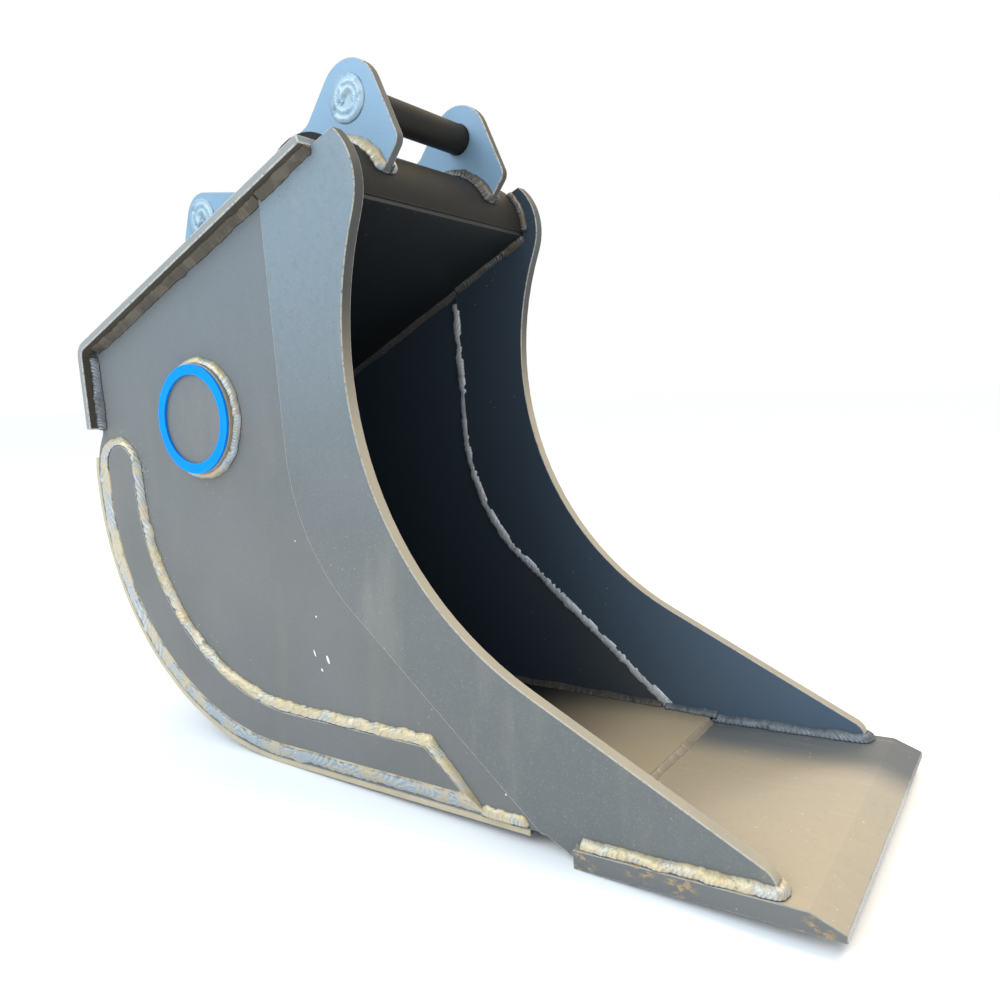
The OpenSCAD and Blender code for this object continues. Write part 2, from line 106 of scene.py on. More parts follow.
def turn_at(a: Sequence[float], b: Sequence[float], c: Sequence[float]) -> float:
    """The turn in degrees where a line from a to b goes on to c."""
    u, v = toward(a, b), toward(b, c)
    return math.degrees(math.atan2(u[0] * v[1] - u[1] * v[0], float(u @ v)))


def arc(centre: Sequence[float], radius: float, start: float, end: float, steps: int) -> Line:
    """The points of an arc.

    Args:
        centre: Its centre.
        radius: Its radius.
        start: The angle of its first point, in degrees.
        end: The angle of its last point.
        steps: How many chords it has.

    Returns:
        One row for each point.
    """
    angles = np.radians(np.linspace(start, end, steps + 1))
    return np.asarray(centre) + radius * np.stack([np.cos(angles), np.sin(angles)], 1)


def moved(line: Sequence[Sequence[float]], offset: float) -> Line:
    """A polyline moved sideways to its left, with its corners mitred.

    Args:
        line: The polyline.
        offset: The distance, negative for the right.

    Returns:
        The new polyline.
    """
    points = []
    for i, here in enumerate(line):
        u = toward(line[max(i - 1, 0)], line[max(i, 1)])
        v = u if i == len(line) - 1 else toward(here, line[i + 1])
        m, n = left_of(u), left_of(v)
        points.append(np.asarray(here) + offset * (m + n) / (1 + m @ n))
    return np.array(points)


def run(line: Sequence[Sequence[float]], radii: Sequence[float], offset: float, steps: int) -> Line:
    """A polyline moved sideways, with its corners rounded so that every offset stays parallel.

    Args:
        line: The sharp polyline.
        radii: The radius of each of its corners before the move.
        offset: The distance to its left.
        steps: How many chords each corner has.

    Returns:
        The rounded polyline.
    """
    sharp = moved(line, offset)
    points = [sharp[0]]
    for i in range(1, len(sharp) - 1):
        a, b, c = sharp[i - 1], sharp[i], sharp[i + 1]
        turn = turn_at(a, b, c)
        radius = radii[i] - offset * math.copysign(1, turn)
        if radius <= 0:
            points.append(b)
            continue
        u = toward(a, b)
        start = b - radius * math.tan(math.radians(abs(turn) / 2)) * u
        middle = start + math.copysign(radius, turn) * left_of(u)
        points += [middle + turned(start - middle, turn * k / steps) for k in range(steps + 1)]
    return np.array(points + [sharp[-1]])


@dataclass(frozen=True)
class Sizes:
    """The bucket's driving sizes, as the solids have them, in millimetres."""

    blade_len: float = 255
    blade_t: float = 20
    knife_in: float = 175
    knife_out: float = 190
    side_in: float = 179
    side_out: float = 187
    toe_back: float = 58
    seam_back: float = 620
    seam_foot: float = 297
    seam_r: float = 262
    seam_fall: float = 42.1
    shell_t: float = 6
    back_reach: float = 1031
    heel_r: float = 352.24
    crown_r: float = 100
    floor_lap: float = 5
    floor_rise: float = 1.83
    liner_back: float = 492
    liner_up: float = 698.5
    liner_rise: float = 23.5
    roof_t: float = 10
    roof_up: float = 757
    roof_back: float = 527
    roof_rise: float = 19.65
    flange_back: float = 1004
    flange_foot: float = 475.96
    flange_r: float = 12
    roll_r: float = 69.85
    roll_back: float = 560
    roll_up: float = 711.3
    pin_pitch: float = 300
    pin_rise: float = 15.7
    pin_back: float = 539
    pin_up: float = 829
    ear_in: float = 100
    ear_out: float = 112
    ear_rear_r: float = 34
    ear_foot_share: float = 2.35
    plug_r: float = 29
    plug_t: float = 4
    strip_t: float = 8
    strip_front: float = 388
    strip_top: float = 450.12
    strip_back_w: float = 59
    strip_floor_w: float = 43
    strip_back_inset: float = 40
    strip_floor_inset: float = 23.6
    strip_outer_r: float = 323.22
    strip_inner_r: float = 290.2
    strip_corner_r: float = 3
    strip_nose: float = 1.2
    strip_end: float = 0.499
    badge_r: float = 70.95
    badge_back: float = 775
    badge_up: float = 475.45
    heel_gap: float = 57
    weld_rim: float = 2
    strip_leg: float = 12

    def floor_at(self, back: float) -> float:
        """Height of the shell's lower face at a distance behind the lip."""
        rise = math.tan(math.radians(self.floor_rise))
        return self.blade_t + (back - self.blade_len + self.floor_lap) * rise

    def liner_at(self, back: float) -> float:
        """Height of the roof lining's upper face at a distance behind the lip."""
        slope = math.radians(self.liner_rise)
        return self.liner_up + self.shell_t / math.cos(slope) - (back - self.liner_back) * math.tan(slope)

    def roof_at(self, back: float) -> float:
        """Height of the hitch plate's lower face at a distance behind the lip."""
        return self.roof_up - (back - self.roof_back) * math.tan(math.radians(self.roof_rise))

    def roof_top_at(self, back: float) -> float:
        """Height of the hitch plate's upper face at a distance behind the lip."""
        return self.roof_at(back) + self.roof_t / math.cos(math.radians(self.roof_rise))

    @property
    def shell_line(self) -> list[list[float]]:
        """The sharp line of the shell's outside: floor, back and roof lining."""
        return [
            [-self.blade_len + self.floor_lap, self.blade_t],
            [-self.back_reach, self.floor_at(self.back_reach)],
            [-self.back_reach, self.liner_at(self.back_reach)],
            [-self.liner_back, self.liner_at(self.liner_back)],
        ]

    @property
    def shell_bends(self) -> list[float]:
        """The radii of the shell line's corners."""
        return [0, self.heel_r, self.crown_r, 0]

    @property
    def crown_centre(self) -> np.ndarray:
        """The centre of the bend at the top of the back."""
        back = self.back_reach - self.crown_r
        return np.array([-back, self.liner_at(back) - self.crown_r / math.cos(math.radians(self.liner_rise))])

    def crown_height(self, back: float) -> float:
        """Height of the crown's outside at a distance behind the lip."""
        centre = self.crown_centre
        return centre[1] + math.sqrt(self.crown_r**2 - (centre[0] + back) ** 2)

    @property
    def roof_line(self) -> list[list[float]]:
        """The sharp line of the hitch plate's lower face and its flange."""
        return [
            [-self.roof_back, self.roof_up],
            [-self.flange_back, self.roof_at(self.flange_back)],
            [-self.flange_back, self.flange_foot],
        ]

    @property
    def roll_c(self) -> np.ndarray:
        """The half pipe's centre."""
        return np.array([-self.roll_back, self.roll_up])

    @property
    def pins(self) -> list[np.ndarray]:
        """The centres of the front pin and the rear pin."""
        front = np.array([-self.pin_back, self.pin_up])
        return [front, front - self.pin_pitch * way(self.pin_rise)]

    def strip_outline(self, out: float, foot: float, leg: float) -> list[list[float]]:
        """The sharp outline of a wear strip or of the bead round it, from the middle of its lower edge and round.

        Args:
            out: How far its rear edge lies behind the lip.
            foot: The height of its lower edge above the shell's.
            leg: How far its other edges lie outside the strip.

        Returns:
            The corners, with the same number for both.
        """
        inner = self.back_reach - self.strip_back_inset - self.strip_back_w - leg
        rise = self.strip_floor_inset + self.strip_floor_w + leg
        mid = (self.strip_front + self.back_reach - self.heel_r) / 2
        end = self.strip_front + self.strip_floor_w * self.strip_nose
        return [
            [-mid, self.floor_at(mid) + foot],
            [-out, self.floor_at(out) + foot],
            [-out, self.strip_top + leg],
            [-inner, self.strip_top + leg],
            [-inner, self.floor_at(inner) + rise],
            [-end + leg / 2, self.floor_at(end) + rise],
            [-self.strip_front + 2 * leg, self.floor_at(self.strip_front) + foot],
            [-mid, self.floor_at(mid) + foot],
        ]

    @property
    def strip_line(self) -> list[list[float]]:
        """The sharp outline of a wear strip."""
        return self.strip_outline(self.back_reach - self.strip_back_inset, self.strip_floor_inset, 0)

    @property
    def strip_weld_line(self) -> list[list[float]]:
        """The sharp line of the toe of the bead round a wear strip."""
        return self.strip_outline(self.back_reach - self.weld_rim, self.weld_rim, self.strip_leg)

    @property
    def strip_weld_bends(self) -> list[float]:
        """The radii of that toe's corners.

        Returns:
            One radius for each corner.
        """
        cap = (self.strip_back_inset + self.strip_back_w + self.strip_leg - self.weld_rim) * self.strip_end
        inner = self.strip_inner_r - self.strip_leg
        return [0, self.heel_r - self.weld_rim, cap, cap, inner, self.strip_leg, self.strip_corner_r, 0]

    @property
    def strip_bends(self) -> list[float]:
        """The radii of the wear strip's corners."""
        cap = self.strip_back_w * self.strip_end
        return [0, self.strip_outer_r, cap, cap, self.strip_inner_r, self.strip_corner_r, self.strip_corner_r, 0]


class Rest:
    """Takes a point from the flat drawing to the frame, read from where the blade lies."""

    def __init__(self, sizes: Sizes, blade: Sequence[bpy.types.MeshVertex]) -> None:
        """Finds the tilt from the blade's two lower corners.

        Args:
            sizes: The driving sizes.
            blade: The blade's points, in the frame.
        """
        self.heel = min((v.co for v in blade), key=lambda co: co.z)
        self.lip = max((v.co for v in blade), key=lambda co: co.x)
        self.tilt = math.atan2(self.lip.z - self.heel.z, self.lip.x - self.heel.x)
        self.back = sizes.blade_len

    def __call__(self, points: np.ndarray) -> np.ndarray:
        """Rows of x, y, z in the flat drawing's millimetres, as metres in the frame.

        Args:
            points: Rows of x, y and z.

        Returns:
            The same rows in metres, in the frame.
        """
        flat = np.asarray(points, float)
        c, s = math.cos(self.tilt), math.sin(self.tilt)
        x, z = flat[..., 0] + self.back, flat[..., 2]
        return np.stack(
            [(x * c - z * s) * MM + self.heel.x, flat[..., 1] * MM, (x * s + z * c) * MM + self.heel.z], -1
        )

    def vector(self, v: Sequence[float]) -> Vector:
        """A direction of the flat drawing as one in the frame."""
        c, s = math.cos(self.tilt), math.sin(self.tilt)
        return Vector((v[0] * c - v[2] * s, v[1], v[0] * s + v[2] * c))


# Shader maths


class Field:
    """A shader value that takes part in sums, so that 1 - mask adds the node it needs."""

    def __init__(self, shop: "Tree", socket: bpy.types.NodeSocket) -> None:
        """Keeps the tree's maker and the output socket."""
        self.shop, self.socket = shop, socket

    def _sum(self, operation: str, *values: Any) -> "Field":
        """Adds a Math node."""
        node = self.shop.node("ShaderNodeMath", {"operation": operation}, dict(enumerate(values)))
        return Field(self.shop, node.outputs[0])

    def __add__(self, other: Any) -> "Field":
        """Self plus other."""
        return self._sum("ADD", self, other)

    __radd__ = __add__

    def __sub__(self, other: Any) -> "Field":
        """Self less other."""
        return self._sum("SUBTRACT", self, other)

    def __rsub__(self, other: Any) -> "Field":
        """Other less self."""
        return self._sum("SUBTRACT", other, self)

    def __mul__(self, other: Any) -> "Field":
        """Self times other."""
        return self._sum("MULTIPLY", self, other)

    __rmul__ = __mul__

    def between(self, low: Any, high: Any) -> "Field":
        """Zero below low, one above high and a smooth step between.

        Args:
            low: Where it leaves zero.
            high: Where it reaches one.

        Returns:
            The step.
        """
        node = self.shop.node(
            "ShaderNodeMapRange",
            {"interpolation_type": "SMOOTHSTEP", "clamp": True},
            {"Value": self, "From Min": low, "From Max": high},
        )
        return Field(self.shop, node.outputs[0])

    def larger(self, other: Any) -> "Field":
        """The larger of the two."""
        return self._sum("MAXIMUM", self, other)


class Tree:
    """Adds nodes to a node tree and feeds them."""

    def __init__(self, tree: bpy.types.NodeTree) -> None:
        """Keeps the tree."""
        self.tree = tree

    def node(
        self, kind: str, settings: dict[str, Any] | None = None, inputs: dict[Any, Any] | None = None
    ) -> bpy.types.Node:
        """Adds one node.

        Args:
            kind: The node's type.
            settings: Its own settings, set first.
            inputs: A value, socket or Field for each input, by name or number.

        Returns:
            The node.
        """
        node = self.tree.nodes.new(kind)
        for key, value in (settings or {}).items():
            setattr(node, key, value)
        self.feed(node, inputs or {})
        return node

    def feed(self, node: bpy.types.Node, inputs: dict[Any, Any]) -> None:
        """Sets or links the inputs of a node.

        Args:
            node: The node.
            inputs: A value, socket or Field for each input, by name or number.
        """
        for key, value in inputs.items():
            socket = value.socket if isinstance(value, Field) else value
            if isinstance(socket, bpy.types.NodeSocket):
                self.tree.links.new(socket, node.inputs[key])
            else:
                if isinstance(socket, tuple) and len(socket) == 3 and node.inputs[key].type == "RGBA":
                    socket = (*socket, 1.0)
                node.inputs[key].default_value = socket

    def blend(self, share: Any, a: Any, b: Any) -> Field:
        """A colour that goes from a to b."""
        node = self.node("ShaderNodeMix", {"data_type": "RGBA"}, {0: share, 6: a, 7: b})
        return Field(self, node.outputs[2])


class Shader(Tree):
    """Builds one material's nodes round a Principled BSDF."""

    def __init__(self, name: str) -> None:
        """Starts an empty material with its output.

        Args:
            name: The material's name.
        """
        self.material = bpy.data.materials.new(name)
        self.material.use_nodes = True
        super().__init__(self.material.node_tree)
        self.bsdf = self.tree.nodes["Principled BSDF"]
        self.place = Field(self, self.node("ShaderNodeTexCoord").outputs["Object"])
        geometry = self.node("ShaderNodeNewGeometry")
        self.facing = self.node("ShaderNodeSeparateXYZ", {}, {0: geometry.outputs["Normal"]})
        self.axes = self.node("ShaderNodeSeparateXYZ", {}, {0: self.place})

    def noise(self, per_metre: float, detail: float = 3, rough: float = 0.5, stretch: Point = (1, 1, 1)) -> Field:
        """Cloudy noise over the piece.

        Args:
            per_metre: How many clouds there are in a metre.
            detail: How many finer layers it has.
            rough: How strong those are.
            stretch: How much closer the clouds lie along each axis.

        Returns:
            A value from zero to one, mostly near a half.
        """
        place: Any = self.place
        if stretch != (1, 1, 1):
            place = self.node("ShaderNodeMapping", {}, {"Vector": self.place, "Scale": stretch}).outputs[0]
        made = self.node(
            "ShaderNodeTexNoise", {}, {"Vector": place, "Scale": per_metre, "Detail": detail, "Roughness": rough}
        )
        return Field(self, made.outputs[0])

    def mask(self, channel: int) -> Field:
        """One channel of the masks painted on the mesh: rims or crests, cut faces or strokes, and the inside faces
        that take painted shade.

        Args:
            channel: The channel's number.

        Returns:
            The mask, from zero to one.
        """
        paint = self.node("ShaderNodeAttribute", {"attribute_name": "masks"})
        parts = self.node("ShaderNodeSeparateColor", {}, {0: paint.outputs["Color"]})
        return Field(self, parts.outputs[channel])

    def up(self) -> Field:
        """How far the surface faces up."""
        return Field(self, self.facing.outputs[2])

    def ahead(self, low: float, high: float) -> Field:
        """Zero behind one place along the bucket and one in front of another, in metres."""
        return Field(self, self.axes.outputs[0]).between(low, high)

    def aside(self, low: Any, high: Any) -> Field:
        """Zero to the right of one place across the bucket and one to the left of another, in metres."""
        return Field(self, self.axes.outputs[1]).between(low, high)

    def height(self, low: float, high: float) -> Field:
        """Zero below one height and one above another, in metres."""
        return Field(self, self.axes.outputs[2]).between(low, high)

    def spot(self, at: Point, radius: float) -> Field:
        """One at a point in metres, fading to zero at a radius."""
        gap = self.node("ShaderNodeVectorMath", {"operation": "DISTANCE"}, {0: self.place, 1: at})
        return 1 - Field(self, gap.outputs["Value"]).between(radius * 0.3, radius)

    def bump(self, height: Field, depth_mm: float, under: Field | None = None) -> Field:
        """A normal from a height.

        Args:
            height: The height, from zero to one.
            depth_mm: What one stands for, in millimetres.
            under: A coarser normal that this one lies on.

        Returns:
            The normal.
        """
        inputs: dict[str, Any] = {"Height": height, "Distance": depth_mm * MM, "Strength": 1.0}
        if under is not None:
            inputs["Normal"] = under
        return Field(self, self.node("ShaderNodeBump", {}, inputs).outputs[0])

    def finish(self, **inputs: Any) -> bpy.types.Material:
        """Feeds the Principled BSDF, by input names with their spaces written as underscores."""
        self.feed(self.bsdf, {key.replace("_", " "): value for key, value in inputs.items()})
        return self.material


@dataclass(frozen=True)
class Paint:
    """Satin paint sprayed thinly over mill scale, with dust, bare rims, a painted sky reflection towards the top,
    painted shade on the inside faces that eases towards the mouth, and painted shade on the upper cut faces.
    """

    name: str
    colour: Colour
    shade: Colour
    cut: Colour
    # sky: painted sky reflection, blended in more towards the top.
    sky: Colour = (0.13, 0.16, 0.185)
    # inside: painted shade for the faces inside the bucket; front: a painted lighter tone for them towards the mouth.
    inside: Colour = (0.034, 0.052, 0.075)
    front: Colour | None = None
    # Painted shade for the cut faces above a height.
    cut_up: Colour | None = None
    rim: Colour = (0.46, 0.44, 0.38)
    dust: Colour = (0.26, 0.22, 0.165)
    dusty: float = 0.3
    gloss: float = 0.4
    rust: float = 0.3
    rim_share: float = 0.5
    cut_share: float = 0.85
    grain_mm: float = 0.2
    mouth: tuple[float, float] = (-0.12, 0.42)
    mouth_share: float = 0.6
    specks: float = 0.35
    shine: float = 0.32
    rust_colour: Colour = (0.16, 0.08, 0.035)
    speck_colour: Colour = (0.6, 0.6, 0.57)

    def make(self) -> bpy.types.Material:
        """Builds the material.

        Returns:
            The material.
        """
        s = Shader(self.name)
        clouds = s.noise(5, 4, 0.6)
        streaks = s.noise(16, 3, 0.55, (1, 1, 0.22))
        grain = s.noise(560, 2, 0.6)
        scale = s.noise(140, 4, 0.65)
        chips = s.noise(260, 3, 0.7)
        body = s.blend(clouds.between(0.35, 0.68), self.colour, self.shade)
        # Painted sky reflection: the paint turns bluer towards the top.
        body = s.blend(s.height(0.25, 0.75) * 0.85, body, self.sky)
        body = s.blend(scale.between(0.45, 0.75) * 0.3, body, self.shade)
        body = s.blend(grain.between(0.55, 0.75) * 0.25 * self.rim_share, body, self.rim)
        body = s.blend(streaks.between(0.52, 0.72) * min(0.12, 0.4 * self.dusty), body, self.dust)
        lying = s.up().between(0.25, 0.9) * self.dusty
        body = s.blend(lying * (0.45 + 0.55 * clouds), body, self.dust)
        # Painted shade on the inside faces, eased by painted light towards the mouth.
        inside = s.blend(s.ahead(*self.mouth), self.inside, self.front or self.inside)
        body = s.blend(s.mask(2) * (0.98 - self.mouth_share * s.ahead(*self.mouth)), body, inside)
        # Painted shade: cut faces turn darker above a height.
        cut = s.blend(s.height(0.4, 0.6), self.cut, self.cut_up or self.cut)
        body = s.blend(s.mask(1) * self.cut_share * (0.55 + 0.6 * streaks), body, cut)
        body = s.blend(s.mask(0) * self.rim_share * chips.between(0.3, 0.55), body, self.rim)
        rust = s.noise(38, 5, 0.75).between(0.69, 0.76) * self.rust
        body = s.blend(rust, body, self.rust_colour)
        specks = s.node("ShaderNodeTexVoronoi", {}, {"Vector": s.place, "Scale": 75.0, "Randomness": 1.0})
        speck = (1 - Field(s, specks.outputs["Distance"]).between(0.045, 0.085)) * s.noise(7, 2).between(0.56, 0.66)
        body = s.blend(speck * self.specks, body, self.speck_colour)
        rough = self.gloss + 0.12 * clouds + 0.16 * lying + 0.2 * rust + 0.1 * scale - 0.06 * grain
        coarse = s.bump(s.noise(22, 3, 0.5), 0.25)
        middle = s.bump(scale, self.grain_mm, coarse)
        fine = s.bump(grain, self.grain_mm * 0.5, middle)
        return s.finish(Base_Color=body, Roughness=rough, Normal=fine, Metallic=0.0, Specular_IOR_Level=self.shine)


@dataclass(frozen=True)
class WeldMetal:
    """A weld bead under a thin coat: pale strokes and lighter crests as painted highlights, painted warm light on
    top, warm patches, and toes and grooves darkened as painted shade.
    """

    name: str
    crest: Colour
    toe: Colour
    warm: Colour
    pale: Colour
    metal: float = 0.4

    def make(self) -> bpy.types.Material:
        """Builds the material.

        Returns:
            The material.
        """
        s = Shader(self.name)
        high, stroke = s.mask(0), s.mask(1)
        soot = s.noise(42, 4, 0.65)
        grain = s.noise(900, 2, 0.6)
        # Painted highlight on the crest and painted shade at the toes.
        body = s.blend(high.between(0.08, 0.5), self.toe, self.crest)
        # Painted highlights on the crests of the strokes.
        body = s.blend(stroke.between(0.35, 0.95) * high.between(0.1, 0.5) * 0.55, body, self.pale)
        # Painted warm light on the parts that face up.
        body = s.blend(s.up().between(-0.1, 0.5) * (0.35 + 0.65 * soot.between(0.35, 0.6)), body, self.warm)
        body = s.blend(s.noise(34, 3, 0.6).between(0.48, 0.6) * 0.7, body, self.warm)
        # Painted shade in the grooves between ripples.
        body = s.blend((1 - stroke.between(0.0, 0.22)) * 0.7, body, self.toe)
        body = s.blend(s.noise(90, 3, 0.7).between(0.6, 0.75) * 0.55, body, self.toe)
        rough = 0.3 + 0.2 * soot + 0.1 * grain
        fine = s.bump(grain, 0.06, s.bump(s.noise(260, 3), 0.25))
        return s.finish(Base_Color=body, Roughness=rough, Normal=fine, Metallic=self.metal * high.between(0.2, 0.9))


@dataclass(frozen=True)
class BladeSteel:
    """The blade: grey paint under tan dust that also stands in for a painted warm sheen, with a painted shadow of the
    far knife plate over its far part, scuffed along its length, with golden rust on its sides.
    """

    name: str = "blade_worn_paint"
    paint: Colour = (0.15, 0.168, 0.182)
    # Tan dust on top, which also stands in for a painted warm sheen.
    dust: Colour = (0.36, 0.288, 0.182)
    bare: Colour = (0.58, 0.5, 0.36)
    side: Colour = (0.075, 0.078, 0.077)
    # Colour of the painted shadow of the far knife plate.
    shaded: Colour = (0.07, 0.085, 0.1)
    gold: Colour = (0.32, 0.21, 0.085)
    rim: Colour = (0.5, 0.45, 0.35)
    rust: Colour = (0.22, 0.12, 0.05)
    chip: Colour = (0.78, 0.72, 0.6)
    stain_r: float = 0.02
    stains: tuple[Point, ...] = (
        (0.348, -0.2, 0.021), (0.387, -0.2, 0.02), (0.284, -0.2, 0.008), (0.506, -0.2, 0.016), (0.31, 0.2, 0.012),
    )

    def make(self) -> bpy.types.Material:
        """Builds the material.

        Returns:
            The material.
        """
        s = Shader(self.name)
        clouds = s.noise(6, 4, 0.62)
        scuffs = s.noise(9, 5, 0.7, (0.5, 14, 14))
        grain = s.noise(600, 2, 0.6)
        scale = s.noise(120, 4, 0.65)
        # Painted shadow of the far knife plate over the blade's far part, where the coat is taken away too.
        far = s.aside(0.03 + 0.05 * clouds, 0.13)
        # Up-facing faces turn tan: dust and painted warm sheen together.
        body = s.blend(s.up().between(0.2, 0.8) * (0.6 + 0.4 * clouds), self.paint, self.dust)
        body = s.blend(s.up().between(0.2, 0.8) * far * 0.9, body, self.shaded)
        body = s.blend(scuffs.between(0.56, 0.74) * 0.12, body, self.bare)
        body = s.blend(scale.between(0.52, 0.7) * 0.16, body, self.paint)
        body = s.blend(s.mask(1) * 0.85, body, self.side)
        rim = s.mask(0) * s.noise(70, 3, 0.6).between(0.2, 0.7)
        body = s.blend(rim * 0.3, body, self.rim)
        near = s.spot(self.stains[0], self.stain_r)
        for at in self.stains[1:]:
            near = near.larger(s.spot(at, self.stain_r))
        broken = s.noise(130, 4, 0.7, (0.5, 1, 1)).between(0.5, 0.6)
        body = s.blend(near * broken, body, self.gold)
        rust = s.noise(26, 5, 0.72).between(0.66, 0.76)
        body = s.blend(rust * 0.4, body, self.rust)
        chips = s.noise(300, 2, 0.5).between(0.72, 0.78)
        body = s.blend(chips * 0.7, body, self.chip)
        rough = 0.36 + 0.16 * clouds + 0.1 * scale - 0.1 * scuffs + 0.2 * near
        fine = s.bump(grain, 0.05, s.bump(scale, 0.14, s.bump(s.noise(18, 3), 0.4)))
        # The coat fades out under the painted shadow.
        return s.finish(Base_Color=body, Roughness=rough, Normal=fine, Coat_Weight=1 - far, Coat_Roughness=0.22)


@dataclass(frozen=True)
class Enamel:
    """Plain bright enamel, a little faded."""

    name: str
    colour: Colour
    faded: Colour
    rim: Colour

    def make(self) -> bpy.types.Material:
        """Builds the material.

        Returns:
            The material.
        """
        s = Shader(self.name)
        clouds = s.noise(30, 3)
        body = s.blend(clouds.between(0.35, 0.7), self.colour, self.faded)
        body = s.blend(s.mask(0) * 0.3, body, self.rim)
        fine = s.bump(s.noise(420, 2), 0.04)
        return s.finish(Base_Color=body, Roughness=0.42 + 0.12 * clouds, Normal=fine, Specular_IOR_Level=0.06)


@dataclass(frozen=True)
class FloorFinish:
    """Pale studio floor."""

    name: str = "pale_floor"
    colour: Colour = (0.985, 0.98, 0.97)
    cloud: Colour = (0.97, 0.965, 0.955)

    def make(self) -> bpy.types.Material:
        """Builds the material.

        Returns:
            The material.
        """
        s = Shader(self.name)
        body = s.blend(s.noise(2, 3).between(0.3, 0.7), self.colour, self.cloud)
        return s.finish(Base_Color=body, Roughness=0.8)


class PaintShop:
    """Makes each finish once."""

    def __init__(self) -> None:
        """Builds every finish."""
        tan, overhang_shade = (0.36, 0.31, 0.22), (0.075, 0.063, 0.048)
        grey, darker = (0.144, 0.15, 0.148), (0.128, 0.134, 0.133)
        self.side = Paint("side_grey_paint", grey, darker, tan).make()
        self.strip = Paint("strip_grey_paint", (0.14, 0.144, 0.142), (0.125, 0.128, 0.126), tan).make()
        # Knife plates: a stronger painted sky reflection towards the top, a painted lighter blue inside towards the
        # mouth, and painted shade on the upper cut faces.
        self.knife = Paint(
            "knife_grey_paint", (0.135, 0.145, 0.147), (0.12, 0.13, 0.132), (0.35, 0.31, 0.235),
            sky=(0.17, 0.235, 0.285), front=(0.085, 0.135, 0.2), mouth_share=0.1, dust=(0.5, 0.45, 0.34), dusty=0.95,
            cut_up=(0.03, 0.028, 0.023), rim_share=0.75, cut_share=1.05,
        ).make()
        # Ears: blue-grey paint made bluer as a painted sky reflection.
        self.ear = Paint(
            "ear_blue_grey_paint", (0.2, 0.33, 0.46), (0.18, 0.3, 0.42), (0.045, 0.04, 0.03),
            sky=(0.2, 0.33, 0.46), rim=(0.62, 0.6, 0.5), dusty=0.15, cut_share=1.1,
        ).make()
        # The hitch plate's underside takes a dark brown painted shade.
        self.hitch = Paint(
            "hitch_blue_grey_paint", (0.15, 0.19, 0.22), (0.13, 0.165, 0.19), (0.27, 0.27, 0.25),
            sky=(0.15, 0.19, 0.22), inside=overhang_shade, rim=(0.6, 0.59, 0.54), dusty=0.1, rim_share=0.7,
        ).make()
        # Shell liner: near-black painted shade on its inside faces and cut edges, eased towards the mouth.
        self.inner = Paint(
            "inner_dark_paint", grey, darker, (0.012, 0.012, 0.012), inside=(0.008, 0.011, 0.014),
            mouth=(0.0, 0.24), mouth_share=0.95, dust=(0.38, 0.31, 0.2), dusty=0.95, rim_share=0.05, shine=0.2,
        ).make()
        self.heel = Paint("heel_grey_paint", (0.13, 0.134, 0.132), (0.11, 0.113, 0.112), (0.6, 0.5, 0.33)).make()
        # Near-black painted shade for the half pipe and the pins.
        self.pin = Paint(
            "pin_dark_paint", (0.016, 0.0155, 0.014), (0.011, 0.011, 0.01), (0.03, 0.028, 0.024),
            sky=(0.016, 0.0155, 0.014), dusty=0.02, rim_share=0.02, gloss=0.42, rust=0.05, specks=0.04, shine=0.12,
        ).make()
        self.blade = BladeSteel().make()
        self.weld = WeldMetal(
            "weld_pale_coat", (0.3, 0.35, 0.39), (0.04, 0.042, 0.044), (0.52, 0.42, 0.25), (0.72, 0.71, 0.66)
        ).make()
        # A darker copy of the weld coat: painted shade for beads inside the bucket and on the far side.
        self.dark_weld = WeldMetal(
            "weld_dark_coat", (0.06, 0.068, 0.075), (0.02, 0.02, 0.021), (0.13, 0.11, 0.08), (0.38, 0.41, 0.44)
        ).make()
        self.silver_weld = WeldMetal(
            "weld_silver_coat", (0.13, 0.15, 0.17), (0.035, 0.04, 0.046), (0.12, 0.135, 0.15), (0.6, 0.66, 0.72)
        ).make()
        # Painted shade for the beads under the hitch plate's overhang.
        self.brown_weld = WeldMetal(
            "weld_brown_coat", (0.066, 0.056, 0.043), (0.03, 0.026, 0.02), (0.12, 0.105, 0.08), (0.09, 0.078, 0.06)
        ).make()
        # A near-white coat: painted glint for the seam beads inside.
        self.bright_weld = WeldMetal(
            "weld_bright_coat", (0.86, 0.92, 0.98), (0.1, 0.12, 0.14), (0.9, 0.95, 1.0), (0.97, 0.98, 1.0), 0.3
        ).make()
        self.floor_weld = WeldMetal(
            "weld_floor_coat", (0.25, 0.22, 0.17), (0.16, 0.14, 0.11), (0.29, 0.25, 0.19), (0.33, 0.29, 0.22)
        ).make()
        self.plug_weld = WeldMetal(
            "weld_blue_coat", (0.19, 0.3, 0.4), (0.08, 0.14, 0.19), (0.3, 0.4, 0.46), (0.42, 0.53, 0.6)
        ).make()
        self.ring = Enamel("ring_blue_enamel", (0.0, 0.23, 0.88), (0.0, 0.25, 0.92), (0.05, 0.4, 0.95)).make()
        self.white = Enamel("white_paint_drops", (0.8, 0.81, 0.8), (0.74, 0.75, 0.74), (0.85, 0.85, 0.85)).make()
        self.floor = FloorFinish().make()


# Pieces


def piece(name: str, mesh: bpy.types.Mesh, slot: str, material: bpy.types.Material, *nodes: str) -> bpy.types.Object:
    """Puts a finished mesh in the scene in place of CAD nodes.

    Args:
        name: The piece's name.
        mesh: Its mesh, in the frame.
        slot: The record's material slot that it stands for; not used.
        material: Its finish.
        nodes: The CAD nodes that it replaces.

    Returns:
        The new object.
    """
    made = bpy.data.objects.new(name, mesh)
    bpy.context.scene.collection.objects.link(made)
    mesh.materials.clear()
    mesh.materials.append(material)
    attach(made, "root")
    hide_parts(*nodes)
    LOG.info("%s: %d faces", name, len(mesh.polygons))
    return made


class Cut(Enum):
    """Which faces of a plate were cut: all round its outline, at a rolled strip's sides, or none."""

    OUTLINE = 1
    SIDES = 2
    NONE = 3


